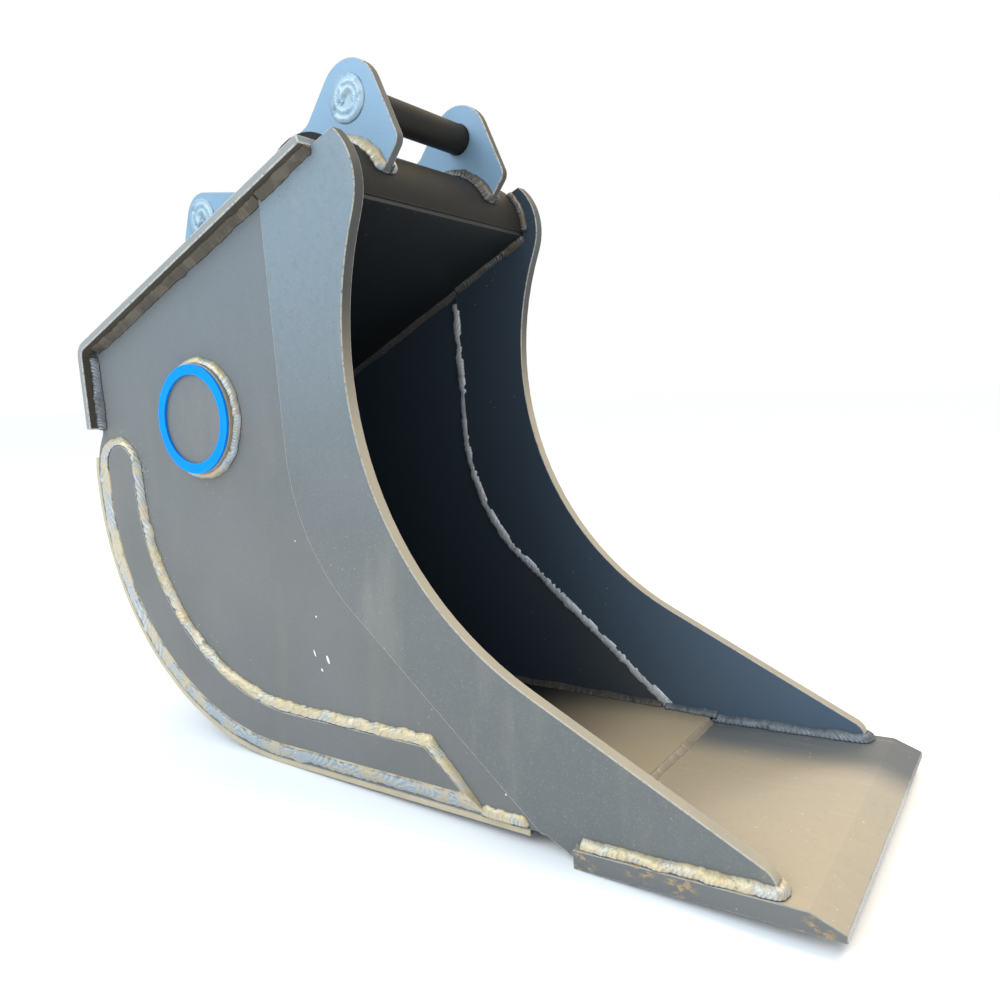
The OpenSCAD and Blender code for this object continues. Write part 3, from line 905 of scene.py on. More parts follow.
@dataclass
class Plate:
    """A cut and ground plate: the CAD solid's own shape with its rims rounded."""

    node: str
    rim_mm: float = 1.2
    segments: int = 2
    crease: float = 28
    ground: float = 14
    cut: Cut = Cut.OUTLINE
    has_inside: bool = False
    heart: Point = (-0.09, 0.0, 0.38)
    least_inward: float = 0.0
    rim_inside: float = 0.0
    same_m: float = 2e-6
    flat: float = 0.4

    def masks(self, face: bmesh.types.BMFace) -> tuple[float, float, float, float]:
        """The masks of one face: no rim, whether it was cut, and whether it faces the bucket's inside, where it takes
        painted shade.

        Args:
            face: The face.

        Returns:
            The colour that holds them.
        """
        across = abs(face.normal[1]) > 0.5
        cut = self.cut is Cut.SIDES and across or self.cut is Cut.OUTLINE and not across
        inward = (Vector(self.heart) - face.calc_center_median()).normalized()
        inside = self.has_inside and face.normal.dot(inward) > self.least_inward
        return 0.0, float(cut), float(inside), 1.0

    def mesh(self) -> bpy.types.Mesh:
        """Rounds the rims and paints the masks for worn rims and cut faces.

        Returns:
            The new mesh.
        """
        bm = bmesh.new()
        bm.from_mesh(bpy.data.objects[self.node].data)
        bmesh.ops.remove_doubles(bm, verts=bm.verts[:], dist=self.same_m)
        bmesh.ops.dissolve_limit(
            bm, angle_limit=math.radians(self.flat), verts=bm.verts[:], edges=bm.edges[:],
            use_dissolve_boundaries=False,
        )
        masks = bm.loops.layers.float_color.new("masks")
        for face in bm.faces:
            values = self.masks(face)
            for loop in face.loops:
                loop[masks] = values
        rims = [e for e in bm.edges if len(e.link_faces) == 2 and e.calc_face_angle(0) > math.radians(self.crease)]
        for edge in bm.edges:
            edge.smooth = len(edge.link_faces) != 2 or edge.calc_face_angle(0) < math.radians(self.ground)
        made = bmesh.ops.bevel(
            bm, geom=rims, offset=self.rim_mm * MM, offset_type="OFFSET", segments=self.segments, profile=0.5,
            affect="EDGES", clamp_overlap=True,
        )
        for face in made["faces"]:
            for loop in face.loops:
                # Rims take as much of the painted inside shade as the plate asks for.
                loop[masks] = (1.0, 0.5, self.rim_inside, 1.0)
        for face in bm.faces:
            face.smooth = True
        mesh = bpy.data.meshes.new(self.node + "_plate")
        bm.to_mesh(mesh)
        bm.free()
        return weighted(mesh)


def weighted(mesh: bpy.types.Mesh) -> bpy.types.Mesh:
    """The mesh with normals that keep its large faces flat.

    Args:
        mesh: A smooth-shaded mesh.

    Returns:
        A copy with its normals fixed.
    """
    holder = bpy.data.objects.new("normals_holder", mesh)
    bpy.context.scene.collection.objects.link(holder)
    weigh = holder.modifiers.new("weigh", "WEIGHTED_NORMAL")
    weigh.weight, weigh.keep_sharp = 100, True
    graph = bpy.context.evaluated_depsgraph_get()
    seen = holder.evaluated_get(graph)
    done = bpy.data.meshes.new_from_object(seen, preserve_all_data_layers=True, depsgraph=graph)
    bpy.data.objects.remove(holder)
    return done


def value_noise(rng: np.random.Generator, along: np.ndarray, spacing: float) -> np.ndarray:
    """Smooth random values between -1 and 1 along a line.

    Args:
        rng: The seeded source.
        along: Distances along the line.
        spacing: The distance between random values.

    Returns:
        One value for each distance.
    """
    knots = rng.uniform(-1, 1, int(along[-1] / spacing) + 4)
    at = along / spacing
    i = at.astype(int)
    t = at - i
    t = t * t * (3 - 2 * t)
    return knots[i] * (1 - t) + knots[i + 1] * t


def tube_faces(rows: int, around: int, ring: bool = False) -> list[tuple[int, ...]]:
    """The faces between rows of points that each go once round.

    Args:
        rows: How many rows there are.
        around: How many points each has.
        ring: Whether the last row joins the first.

    Returns:
        Four point numbers for each face.
    """
    faces: list[tuple[int, ...]] = []
    for i in range(rows if ring else rows - 1):
        a, b = i * around, (i + 1) % rows * around
        for k in range(around):
            after = (k + 1) % around
            faces.append((a + k, a + after, b + after, b + k))
    return faces


@dataclass
class Bead:
    """One run of weld: a root in the corner and a toe on each plate, laid in overlapping ripples."""

    root: np.ndarray
    toe_a: np.ndarray
    toe_b: np.ndarray
    ring: bool = False
    pitch: float = 4.6
    step: float = 0.8
    across: int = 9
    bulge: float = 0.2
    ripple: float = 0.085
    slant: float = 1.1
    taper: float = 0.55
    widest: float = 8
    swell: float = 1.5
    sunk: float = 0.25
    seed: int = 1

    def build(self) -> Solid:
        """Lays the ripples.

        Returns:
            The points in flat millimetres, the faces, and each point's height on the bead and in its stroke.
        """
        rng = np.random.default_rng(self.seed)
        lines = [np.asarray(p, float) for p in (self.root, self.toe_a, self.toe_b)]
        if self.ring:
            lines = [np.vstack([p, p[:1]]) for p in lines]
        lengths = np.concatenate([[0], np.cumsum(np.linalg.norm(np.diff(lines[1], axis=0), axis=1))])
        count = max(int(lengths[-1] / self.step), 8)
        at = np.linspace(0, lengths[-1], count + 1)
        root, a, b = (np.stack([np.interp(at, lengths, p[:, k]) for k in range(3)], 1) for p in lines)
        leg = np.linalg.norm((a + b) / 2 - root, axis=1)[:, None]
        calm = np.minimum(1, self.widest / leg)
        wander_a = 1 + calm * (0.13 * value_noise(rng, at, 17) + 0.08 * value_noise(rng, at, 5))[:, None]
        wander_b = 1 + calm * (0.13 * value_noise(rng, at, 19) + 0.08 * value_noise(rng, at, 5))[:, None]
        fade = np.ones((count + 1, 1))
        if not self.ring:
            ends = np.minimum(at, at[-1] - at)[:, None] / (self.taper * leg)
            fade = np.sqrt(np.clip(1 - (1 - np.clip(ends, 0, 1)) ** 2, 0.02, 1))
        a, b = root + (a - root) * wander_a * fade, root + (b - root) * wander_b * fade
        out = (a + b) / 2 - root
        out = out / np.linalg.norm(out, axis=1)[:, None]
        v = np.linspace(0, 1, self.across)[None, :]
        hump = 4 * v * (1 - v)
        pace = at + 2.4 * value_noise(rng, at, 11) + 0.8 * value_noise(rng, at, 3.5)
        lean = self.slant * (1 + 0.5 * value_noise(rng, at, 31)[:, None])
        phase = (pace[:, None] + leg * (0.5 * (1 - (2 * v - 1) ** 2) + lean * v)) / self.pitch
        part = phase - np.floor(phase)
        scale = part**0.8 * (1 - np.clip((part - 0.8) / 0.2, 0, 1) ** 2)
        body = 1 + 0.2 * value_noise(rng, at, 23)[:, None] + 0.12 * value_noise(rng, at, 5)[:, None]
        force = 1 + 0.6 * value_noise(rng, at, 7)[:, None]
        relief = self.ripple * force * (scale - 0.35) * hump**0.6
        lift = self.bulge * body * hump * leg + relief * np.minimum(leg, self.widest)
        lift = lift * self.swell * fade - self.sunk
        points = a[:, None] * (1 - v[..., None]) + b[:, None] * v[..., None] + out[:, None] * lift[..., None]
        masks = np.stack([np.clip((hump + 0.2 * (scale - 0.4)) * fade, 0, 1), np.clip(scale * fade, 0, 1)], -1)
        back = root - out * self.sunk * 2
        points = np.concatenate([points, back[:, None]], 1)
        masks = np.concatenate([masks, np.zeros((count + 1, 1, 2))], 1)
        n = self.across + 1
        rows = count if self.ring else count + 1
        points, masks = points[:rows], masks[:rows]
        faces = tube_faces(rows, n, self.ring)
        if not self.ring:
            faces += [tuple(range(n))[::-1], tuple((rows - 1) * n + k for k in range(n))]
        return points.reshape(-1, 3), faces, masks.reshape(-1, 2)


def small_ball(levels: int = 1) -> tuple[np.ndarray, list[tuple[int, ...]]]:
    """The points and faces of a round ball of radius one.

    Args:
        levels: How finely it is divided.

    Returns:
        Its points and its faces.
    """
    bm = bmesh.new()
    bmesh.ops.create_icosphere(bm, subdivisions=levels, radius=1)
    ball = np.array([v.co for v in bm.verts])
    faces = [tuple(v.index for v in f.verts) for f in bm.faces]
    bm.free()
    return ball, faces


@dataclass
class Spatter:
    """Small beads of metal thrown beside a weld on to a flat plate."""

    line: np.ndarray
    aside: np.ndarray
    count: int
    reach: float = 9
    seed: int = 5

    def build(self) -> Solid:
        """Scatters the drops.

        Returns:
            The points in flat millimetres, the faces, and the two masks of each point.
        """
        rng = np.random.default_rng(self.seed)
        ball, faces_one = small_ball()
        points, faces = [], []
        for k in range(self.count):
            i = int(rng.integers(0, len(self.line) - 1))
            t = rng.uniform()
            at = self.line[i] * (1 - t) + self.line[i + 1] * t + self.aside[i] * self.reach * rng.uniform() ** 1.6
            radius = rng.uniform(0.35, 1.0) ** 1.5
            points.append(at + ball * radius * rng.uniform(0.8, 1.2, 3))
            faces += [tuple(f + k * len(ball) for f in one) for one in faces_one]
        return np.vstack(points), faces, np.full((len(points) * len(ball), 2), 0.6)


@dataclass
class Drop:
    """A flat drop of white paint that landed on the flank."""

    at: Point
    wide: float
    tall: float
    thick: float = 0.5
    lean: float = 0.3

    def build(self) -> Solid:
        """Shapes the drop.

        Returns:
            The points in flat millimetres, the faces, and the two masks of each point.
        """
        ball, faces = small_ball(3)
        points = np.asarray(self.at) + ball * [self.wide, self.thick, self.tall]
        points[:, 0] -= ball[:, 2] * self.lean * self.tall
        return points, faces, np.zeros((len(ball), 2))


def beside(line: Line, y: float) -> np.ndarray:
    """A line of the side view at one place across the bucket."""
    return np.stack([line[:, 0], np.full(len(line), y), line[:, 1]], 1)


def across_line(x: float, up: float, half: float) -> np.ndarray:
    """A straight line across the bucket, half its length to each side."""
    places = np.linspace(-half, half, ACROSS_POINTS)
    return np.stack([np.full(ACROSS_POINTS, x), places, np.full(ACROSS_POINTS, up)], 1)


def side_bead(root: Line, toe: Line, low: float, high: float, **options: Any) -> Bead:
    """A bead drawn in side view along a flat plate.

    Args:
        root: The edge's line.
        toe: The bead's toe on the flat plate, point for point.
        low: The plate's place across the bucket.
        high: How far across the bead climbs the edge.
        options: Further fields of the bead.

    Returns:
        The bead.
    """
    return Bead(beside(root, low), beside(toe, low), beside(root, high), **options)


class Welder:
    """Joins runs of bead into one piece and puts it in the frame."""

    def __init__(self, rest: Rest, shop: PaintShop) -> None:
        """Keeps the way into the frame and the finishes."""
        self.rest, self.shop = rest, shop

    def join(self, name: str, parts: Sequence[Any]) -> bpy.types.Mesh:
        """Makes one mesh of several beads or drops, in the frame.

        Args:
            name: The mesh's name.
            parts: The beads, drops and plugs.

        Returns:
            The mesh.
        """
        points, faces, masks, start = [], [], [], 0
        for part in parts:
            p, f, m = part.build()
            points.append(p)
            faces += [tuple(i + start for i in face) for face in f]
            masks.append(m)
            start += len(p)
        mesh = bpy.data.meshes.new(name)
        mesh.from_pydata(self.rest(np.vstack(points)).tolist(), [], faces)
        bm = bmesh.new()
        bm.from_mesh(mesh)
        bmesh.ops.recalc_face_normals(bm, faces=bm.faces[:])
        bm.to_mesh(mesh)
        bm.free()
        both = np.vstack(masks)
        layer = mesh.color_attributes.new("masks", "FLOAT_COLOR", "POINT")
        layer.data.foreach_set("color", np.hstack([both, 0 * both[:, :1], 0 * both[:, :1] + 1]).ravel())
        mesh.shade_smooth()
        return mesh

    def lay(self, node: str, parts: Sequence[Any], coat: bpy.types.Material | None = None) -> bpy.types.Object:
        """Makes one piece of several beads.

        Args:
            node: The CAD node that they replace.
            parts: The beads, drops and plugs.
            coat: Their finish, if not the usual pale one.

        Returns:
            The piece.
        """
        return piece("laid_" + node, self.join(node + "_beads", parts), "weld_bead", coat or self.shop.weld, node)


@dataclass
class BladeAndFloor:
    """The cutting edge with its beads round the knife plates' feet and along the floor seam."""

    sizes: Sizes
    out_leg: float = 9
    in_leg: float = 10
    up_leg: float = 10
    corner: float = 4
    seam_leg: float = 8
    strokes: ClassVar[dict[str, float]] = {"pitch": 5.5, "slant": 3.5, "ripple": 0.1}

    def foot_bead(self, side: Side) -> Bead:
        """The bead along the outside of a knife plate's foot, round its toe and back along the inside.

        Args:
            side: The side it is on.

        Returns:
            The bead.
        """
        z = self.sizes
        rear, toe = -z.blade_len + z.floor_lap, -z.toe_back
        plan = [[rear, -z.knife_out], [toe, -z.knife_out], [toe, -z.knife_in], [rear, -z.knife_in]]
        radii = [0, self.corner, self.corner, 0]
        root, out = run(plan, radii, 0, 10), run(plan, radii, -self.out_leg, 10)

        def at(line: Line, height: float) -> np.ndarray:
            """A line of the plan at a height, on this side."""
            flat = np.stack([line[:, 0], line[:, 1], np.full(len(line), height)], 1)
            return flat * [1, -side.value, 1]

        low, high = z.blade_t, z.blade_t + self.up_leg
        return Bead(at(root, low), at(out, low), at(root, high), **self.strokes, seed=11)

    def inner_bead(self, side: Side) -> Bead:
        """The bead that goes on back along the floor, from the blade to the seam between the plates.

        Args:
            side: The side it is on.

        Returns:
            The bead.
        """
        z = self.sizes
        back = np.linspace(z.blade_len - 3 * z.floor_lap, z.seam_foot + 2.5 * self.seam_leg, 12)
        floor = np.array([z.floor_at(b) + z.shell_t for b in back])

        def at(inset: float, lift: float) -> np.ndarray:
            """The line moved in from the plate and up from the floor."""
            across = np.full(len(back), side.value * (z.knife_in - inset))
            return np.stack([-back, across, floor + lift], 1)

        return Bead(at(0, 0), at(self.seam_leg, 0), at(0, self.seam_leg), **self.strokes, seed=13)

    def floor_seam(self) -> Bead:
        """The bead that ramps from the floor down to the blade.

        Returns:
            The bead.
        """
        z = self.sizes
        half, back = z.knife_in - self.in_leg, -z.blade_len + z.floor_lap
        ends = (back, z.blade_t), (back + self.seam_leg, z.blade_t), (back, z.blade_t + z.shell_t)
        return Bead(*(across_line(x, up, half) for x, up in ends), bulge=0.1, ripple=0.05, seed=17)

    def build(self, shop: PaintShop, welder: Welder) -> None:
        """Makes and dresses the blade and its beads.

        Args:
            shop: The finishes.
            welder: Joins the beads and places them.
        """
        blade = Plate("cutting_edge", 1.0, 3, cut=Cut.SIDES)
        piece("ground_blade", blade.mesh(), "wear_steel", shop.blade, blade.node)
        for side in Side:
            # The far side's beads take a darker, silvery coat as painted shade; the near side's the paler one.
            coat = shop.weld if side is Side.RIGHT else shop.silver_weld
            welder.lay(f"blade_welds_{side.word}", [self.foot_bead(side), self.inner_bead(side)], coat)
        welder.lay("floor_seam_weld", [self.floor_seam()], shop.floor_weld)


@dataclass
class Flanks:
    """Knife plates, side plates and wear strips, with the beads inside and out."""

    sizes: Sizes
    seam_leg: float = 8
    seam_spread: float = 3
    seam_over: float = 4.5
    heel_bead_out: float = 5
    spatter_from: int = 60
    spatter_to: int = 100
    drops: tuple[tuple[float, ...], ...] = (
        (-599, 226, 1.1, 1.3), (-608, 180, 1.2, 4.2), (-586, 174, 2.0, 5.2), (-598, 160, 1.5, 2.0),
        (-339, 54, 1.0, 1.2), (-622, 318, 0.9, 0.9), (-575, 92, 0.8, 1.1),
    )

    def strip_ring(self, side: Side) -> tuple[list[Any], list[Any]]:
        """The bead all round a wear strip, with drops thrown off it, and the one beyond it on the heel's edge.

        Args:
            side: The side it is on.

        Returns:
            The parts of each.
        """
        z = self.sizes
        root = run(z.strip_line, z.strip_bends, 0, BEND_CHORDS)[:-1]
        toe = run(z.strip_weld_line, z.strip_weld_bends, 0, BEND_CHORDS)[:-1]
        low, high = side.value * z.side_out, side.value * (z.side_out + z.strip_t)
        seed = 21 + side.value
        bead = side_bead(root, toe, low, high, ring=True, pitch=12, slant=5, ripple=0.1, across=13, seed=seed)
        away = (toe - root) / np.linalg.norm(toe - root, axis=1)[:, None]
        inner = slice(self.spatter_from, self.spatter_to)
        drops = Spatter(beside(toe, low)[inner], beside(away, 0)[inner], 60, 16, 31 + side.value)
        foot = z.seam_foot + z.heel_gap + z.strip_leg + z.strip_t
        front = z.blade_len + z.heel_gap
        heel = np.array([[-foot, z.floor_at(foot) + z.weld_rim], [-front, z.floor_at(front) + z.weld_rim]])
        toe, out = moved(heel, z.strip_leg), low + side.value * self.heel_bead_out
        edge = side_bead(heel, toe, low, out, taper=1.6, ripple=0.14, seed=27)
        return [bead, drops], [edge]

    def seam_bead(self, side: Side) -> Bead:
        """The bead inside, down the seam between the knife plate and the side plate.

        Args:
            side: The side it is on.

        Returns:
            The bead.
        """
        z = self.sizes
        foot = z.floor_at(z.seam_foot)
        corner = foot + (z.seam_back - z.seam_foot) * math.tan(math.radians(z.seam_fall))
        top = z.liner_at(z.seam_back) - (z.shell_t + 2 * self.seam_leg) / math.cos(math.radians(z.liner_rise))
        low = foot + z.shell_t + 3
        end = -z.seam_foot - (low - foot) / math.tan(math.radians(z.seam_fall))
        line = [[-z.seam_back, top], [-z.seam_back, corner], [end, low]]
        radii = [0, z.seam_r, 0]
        root, toe = run(line, radii, 0, BEND_CHORDS), run(line, radii, -self.seam_leg - self.seam_spread, BEND_CHORDS)
        low, high = side.value * z.side_in, side.value * z.knife_in
        bead = side_bead(root, toe, low, high, pitch=8, slant=3.5, bulge=0.24, ripple=0.13, seed=41 + side.value)
        bead.toe_b[:, [0, 2]] = run(line, radii, self.seam_over, BEND_CHORDS)
        bead.root[:, 1] += side.value * self.seam_over
        return bead

    def lining_bead(self, side: Side) -> Bead:
        """The bead inside, all round the shell where it meets the side plate.

        Args:
            side: The side it is on.

        Returns:
            The bead.
        """
        z = self.sizes
        start = z.seam_foot + (z.shell_t + 2 * self.seam_leg) / math.tan(math.radians(z.seam_fall))
        shell = z.shell_line
        line = [[-start, z.floor_at(start)], shell[1], shell[2], [-z.seam_back, z.liner_at(z.seam_back)]]
        root = run(line, z.shell_bends, -z.shell_t, BEND_CHORDS)
        toe = run(line, z.shell_bends, -z.shell_t - self.seam_leg, BEND_CHORDS)
        low, high = side.value * z.side_in, side.value * (z.side_in - self.seam_leg)
        return side_bead(root, toe, low, high, bulge=0.1, ripple=0.05, seed=51 + side.value)

    def build(self, shop: PaintShop, welder: Welder) -> None:
        """Makes and dresses the plates, the strips and their beads.

        Args:
            shop: The finishes.
            welder: Joins the beads and places them.
        """
        for side in Side:
            word = side.word
            knife = Plate(f"knife_plate_{word}", 1.2, 3, has_inside=True)
            piece(f"cut_knife_plate_{word}", knife.mesh(), "grey_paint", shop.knife, knife.node)
            flank = Plate(f"side_plate_{word}", 0.5, has_inside=True)
            piece(f"cut_side_plate_{word}", flank.mesh(), "grey_paint", shop.side, flank.node)
            strip = Plate(f"wear_strip_{word}", 1.2)
            piece(f"cut_wear_strip_{word}", strip.mesh(), "grey_paint", shop.strip, strip.node)
            ring, edge = self.strip_ring(side)
            welder.lay(f"wear_strip_weld_{word}", ring)
            welder.lay(f"heel_edge_weld_{word}", edge)
            # The seam beads inside take the near-white coat as a painted glint.
            welder.lay(f"side_seam_weld_{word}", [self.seam_bead(side)], shop.bright_weld)
            # The lining beads take the darker weld coat as painted shade.
            welder.lay(f"lining_weld_{word}", [self.lining_bead(side)], shop.dark_weld)
        out = -self.sizes.side_out
        drops = welder.join("flank_drops", [Drop((x, out, up), wide, tall) for x, up, wide, tall in self.drops])
        piece("white_drops_on_flank", drops, "grey_paint", shop.white)


@dataclass
class Shell:
    """The rolled shell and the heel plate outside it."""

    sizes: Sizes

    def build(self, shop: PaintShop) -> None:
        """Makes and dresses both.

        Args:
            shop: The finishes.
        """
        # The shell's inside faces and rims take the painted inside shade.
        shell = Plate("shell_liner", 0.8, cut=Cut.SIDES, has_inside=True, least_inward=-0.8, rim_inside=1.0)
        piece("rolled_shell", shell.mesh(), "inner_shell", shop.inner, shell.node)
        heel = Plate("heel_plate", 1.2, cut=Cut.SIDES)
        piece("rolled_heel_plate", heel.mesh(), "grey_paint", shop.heel, heel.node)


@dataclass
class PlugWeld:
    """A rough plug of weld over a pin's end."""

    centre: np.ndarray
    y: float
    sign: int
    radius: float
    height: float
    rings: int = 34
    around: int = 150
    lumps: int = 34
    seed: int = 3

    def build(self) -> Solid:
        """Shapes the plug as a coiled ridge over lumps and pits.

        Returns:
            The points in flat millimetres, the faces, and the two masks of each point.
        """
        rng = np.random.default_rng(self.seed)
        turns = np.arange(self.around)[None, :] / self.around
        r = np.linspace(1, 0, self.rings + 1)[:, None]
        theta = turns * 2 * math.pi
        x, z = r * np.cos(theta), r * np.sin(theta)
        lumps = 0 * x
        for _ in range(self.lumps):
            at_r, at_t, size = rng.uniform(0, 0.85), rng.uniform(0, 2 * math.pi), rng.uniform(0.004, 0.025)
            near = (x - at_r * math.cos(at_t)) ** 2 + (z - at_r * math.sin(at_t)) ** 2
            lumps = lumps + rng.uniform(-0.6, 0.6) * np.exp(-near / size)
        start = rng.uniform()
        coil = (turns + start) % 1.0
        ridge = sum(np.exp(-(((r - 0.84 + 0.3 * (coil + k)) / 0.12) ** 2)) for k in (0, 1))
        phase = (coil + 0.1 * r) * 26
        part = phase - np.floor(phase)
        edge = np.clip((1 - r) / 0.08, 0, 1) ** 0.5
        high = np.clip(edge * (0.36 + 0.42 * ridge * (0.85 + 0.3 * part) + 0.5 * lumps), 0, 1)
        rough = 0.985 + 0.01 * np.sin(3 * theta + start * 9) + 0.005 * np.sin(11 * theta)
        y = self.y + self.sign * (high * self.height - 0.2)
        reach = self.radius * rough
        points = np.stack([self.centre[0] + reach * x, y, self.centre[1] + reach * z], -1).reshape(-1, 3)
        faces = tube_faces(self.rings + 1, self.around)
        faces.append(tuple(range(self.around)))
        return points, faces, np.stack([high, 0.3 + 0.6 * high], -1).reshape(-1, 2)


@dataclass
class Hitch:
    """Hitch plate, half pipe, ears and pins, with their beads."""

    sizes: Sizes
    plate_leg: float = 10
    ear_leg: float = 11
    pipe_leg: float = 8
    saddle_low: float = 0.36
    pipe_top: float = 45
    flange_toe: float = 3
    fold_chords: int = 12
    fold_end: int = 8

    def plate_beads(self, side: Side) -> tuple[list[Any], list[Any]]:
        """The beads under the hitch plate's overhang, and those down its flange with the drops beside them.

        Args:
            side: The side it is on.

        Returns:
            The parts of each.
        """
        z = self.sizes
        leg, bent = self.plate_leg, self.fold_end
        corner = [-z.seam_back, z.roof_at(z.seam_back)]
        front = np.array([[-z.roof_back, z.roof_up], corner])
        fall = [corner, z.roof_line[1], [-z.flange_back, z.crown_height(z.flange_back)]]
        rear, wide = (run(fall, [0, z.flange_r, 0], offset, self.fold_chords) for offset in (0, leg))
        out, far = side.value * z.knife_out, side.value * z.side_out
        front_toe = moved(front, leg)
        calm = {"bulge": 0.06, "ripple": 0.012}
        under = [
            side_bead(front, front_toe, out, out + side.value * leg, **calm, seed=61 + side.value),
            side_bead(rear[:bent], wide[:bent], far, far + side.value * leg, **calm, seed=63 + side.value),
        ]
        down = [
            side_bead(rear[bent - 1 :], wide[bent - 1 :], far, far + side.value * leg, ripple=0.16, seed=65),
            Spatter(beside(front_toe, out), np.array([[0.2, 0, -1]] * 2), 40, 14, 71 + side.value),
        ]
        return under, down

    def flange_bead(self) -> Bead:
        """The bead that fills the wedge below the flange.

        Returns:
            The bead.
        """
        z = self.sizes
        near, far = z.flange_back, z.flange_back + z.roof_t
        toe = far + self.flange_toe
        ends = (near, z.crown_height(near)), (far, z.flange_foot + 1), (toe, z.crown_height(toe))
        return Bead(*(across_line(-back, up, z.side_out) for back, up in ends), bulge=0.05, seed=81)

    def pipe_beads(self) -> list[Any]:
        """The beads at the half pipe's ends and along the lining behind them.

        Returns:
            The beads.
        """
        z = self.sizes
        start = math.degrees(math.asin((z.liner_at(z.roll_back - z.roll_r) - z.roll_up) / z.roll_r))
        under = moved([[-back, z.liner_at(back)] for back in (z.liner_back, z.seam_back)], z.shell_t)
        beads = []
        for side in Side:
            low, high = side.value * z.knife_in, side.value * (z.knife_in - self.pipe_leg)
            front = arc(z.roll_c, z.roll_r, start, self.pipe_top, 12)
            wide = arc(z.roll_c, z.roll_r + self.pipe_leg, start, self.pipe_top, 12)
            beads.append(side_bead(front, wide, low, high, pitch=4, bulge=0.3, seed=91 + side.value))
            beads.append(side_bead(under, moved(under, self.pipe_leg), low, high, seed=93 + side.value))
        return beads

    def ear_beads(self, side: Side) -> list[Any]:
        """The beads on both faces of an ear's foot, over the half pipe and back along the plate.

        Args:
            side: The side it is on.

        Returns:
            The beads.
        """
        z = self.sizes
        tip = math.degrees(math.asin(self.saddle_low))
        rise = (z.roof_top_at(z.roll_back) - z.roll_up) * math.cos(math.radians(z.roof_rise))
        landing = 90 + z.roof_rise + math.degrees(math.acos(rise / z.roll_r))
        foot_back = -z.pins[1][0] + z.ear_rear_r * z.ear_foot_share
        foot = np.vstack([arc(z.roll_c, z.roll_r, tip, landing, 24), [[-foot_back, z.roof_top_at(foot_back)]]])
        wide = moved(foot, -self.ear_leg)
        beads = []
        for face, sign in ((z.ear_out, 1), (z.ear_in, -1)):
            low, high = side.value * face, side.value * (face + sign * self.ear_leg)
            seed = int(297 + face * side.value)
            beads.append(side_bead(foot, wide, low, high, bulge=0.24, ripple=0.07, pitch=6, seed=seed))
        return beads

    def plugs(self) -> list[Any]:
        """The rough plugs over the pins' ends."""
        z = self.sizes
        return [
            PlugWeld(c, side.value * z.ear_out, side.value, z.plug_r, z.plug_t, seed=131 + 7 * k + side.value)
            for k, c in enumerate(z.pins) for side in Side
        ]

    def build(self, shop: PaintShop, welder: Welder) -> None:
        """Makes and dresses the hitch.

        Args:
            shop: The finishes.
            welder: Joins the beads and places them.
        """
        roof = Plate("hitch_plate", 1.5, 3, cut=Cut.SIDES, has_inside=True)
        piece("bent_hitch_plate", roof.mesh(), "grey_paint", shop.hitch, roof.node)
        pipe = Plate("front_half_pipe", 1.0, crease=40, cut=Cut.NONE)
        # The half pipe takes the near-black painted shade.
        piece("half_pipe_wall", pipe.mesh(), "grey_paint", shop.pin, pipe.node)
        caps = Plate("half_pipe_caps", 0.8)
        piece("half_pipe_end_caps", caps.mesh(), "grey_paint", shop.knife, caps.node)
        for side in Side:
            ear = Plate(f"hitch_ear_{side.word}", 1.6, 3)
            piece(f"cut_hitch_ear_{side.word}", ear.mesh(), "grey_paint", shop.ear, ear.node)
            # The far ear's beads take the darker weld coat as painted shade; the near ones the paler coat.
            coat = shop.weld if side is Side.RIGHT else shop.dark_weld
            welder.lay(f"ear_welds_{side.word}", self.ear_beads(side), coat)
            under, down = self.plate_beads(side)
            node = f"hitch_plate_weld_{side.word}"
            # The beads under the overhang take the painted shade coat.
            welder.lay(node, under, shop.brown_weld)
            fall = welder.join(node + "_down", down)
            piece(f"flange_side_beads_{side.word}", fall, "weld_bead", shop.silver_weld, node)
        for word in ("front", "rear"):
            pin = Plate(f"{word}_pin", 0.6, crease=40, cut=Cut.NONE)
            piece(f"round_{word}_pin", pin.mesh(), "pin_steel", shop.pin, pin.node)
        welder.lay("flange_weld", [self.flange_bead()])
        # The half pipe's beads take the darker weld coat as painted shade.
        welder.lay("half_pipe_welds", self.pipe_beads(), shop.dark_weld)
        welder.lay("pin_plug_welds", self.plugs(), shop.plug_weld)


@dataclass
class Badge:
    """A bare round blank with a plain raised ring, welded on the right side."""

    sizes: Sizes
    leg: float = 8

    def bead(self) -> Bead:
        """The bead round the blank.

        Returns:
            The bead.
        """
        z = self.sizes
        centre = [-z.badge_back, z.badge_up]
        root = arc(centre, z.badge_r, 0, 360, 96)[:-1]
        toe = arc(centre, z.badge_r + self.leg, 0, 360, 96)[:-1]
        return side_bead(root, toe, -z.side_out, -z.side_out - self.leg, ring=True, pitch=4.2, bulge=0.25, seed=151)

    def build(self, shop: PaintShop, welder: Welder) -> None:
        """Makes and dresses the blank, its ring and its bead.

        Args:
            shop: The finishes.
            welder: Joins the beads and places them.
        """
        blank, ring = Plate("badge_blank", 0.9), Plate("badge_ring", 0.8, 3)
        piece("round_badge_blank", blank.mesh(), "grey_paint", shop.side, blank.node)
        piece("raised_badge_ring", ring.mesh(), "badge_blue", shop.ring, ring.node)
        welder.lay("badge_weld", [self.bead()])


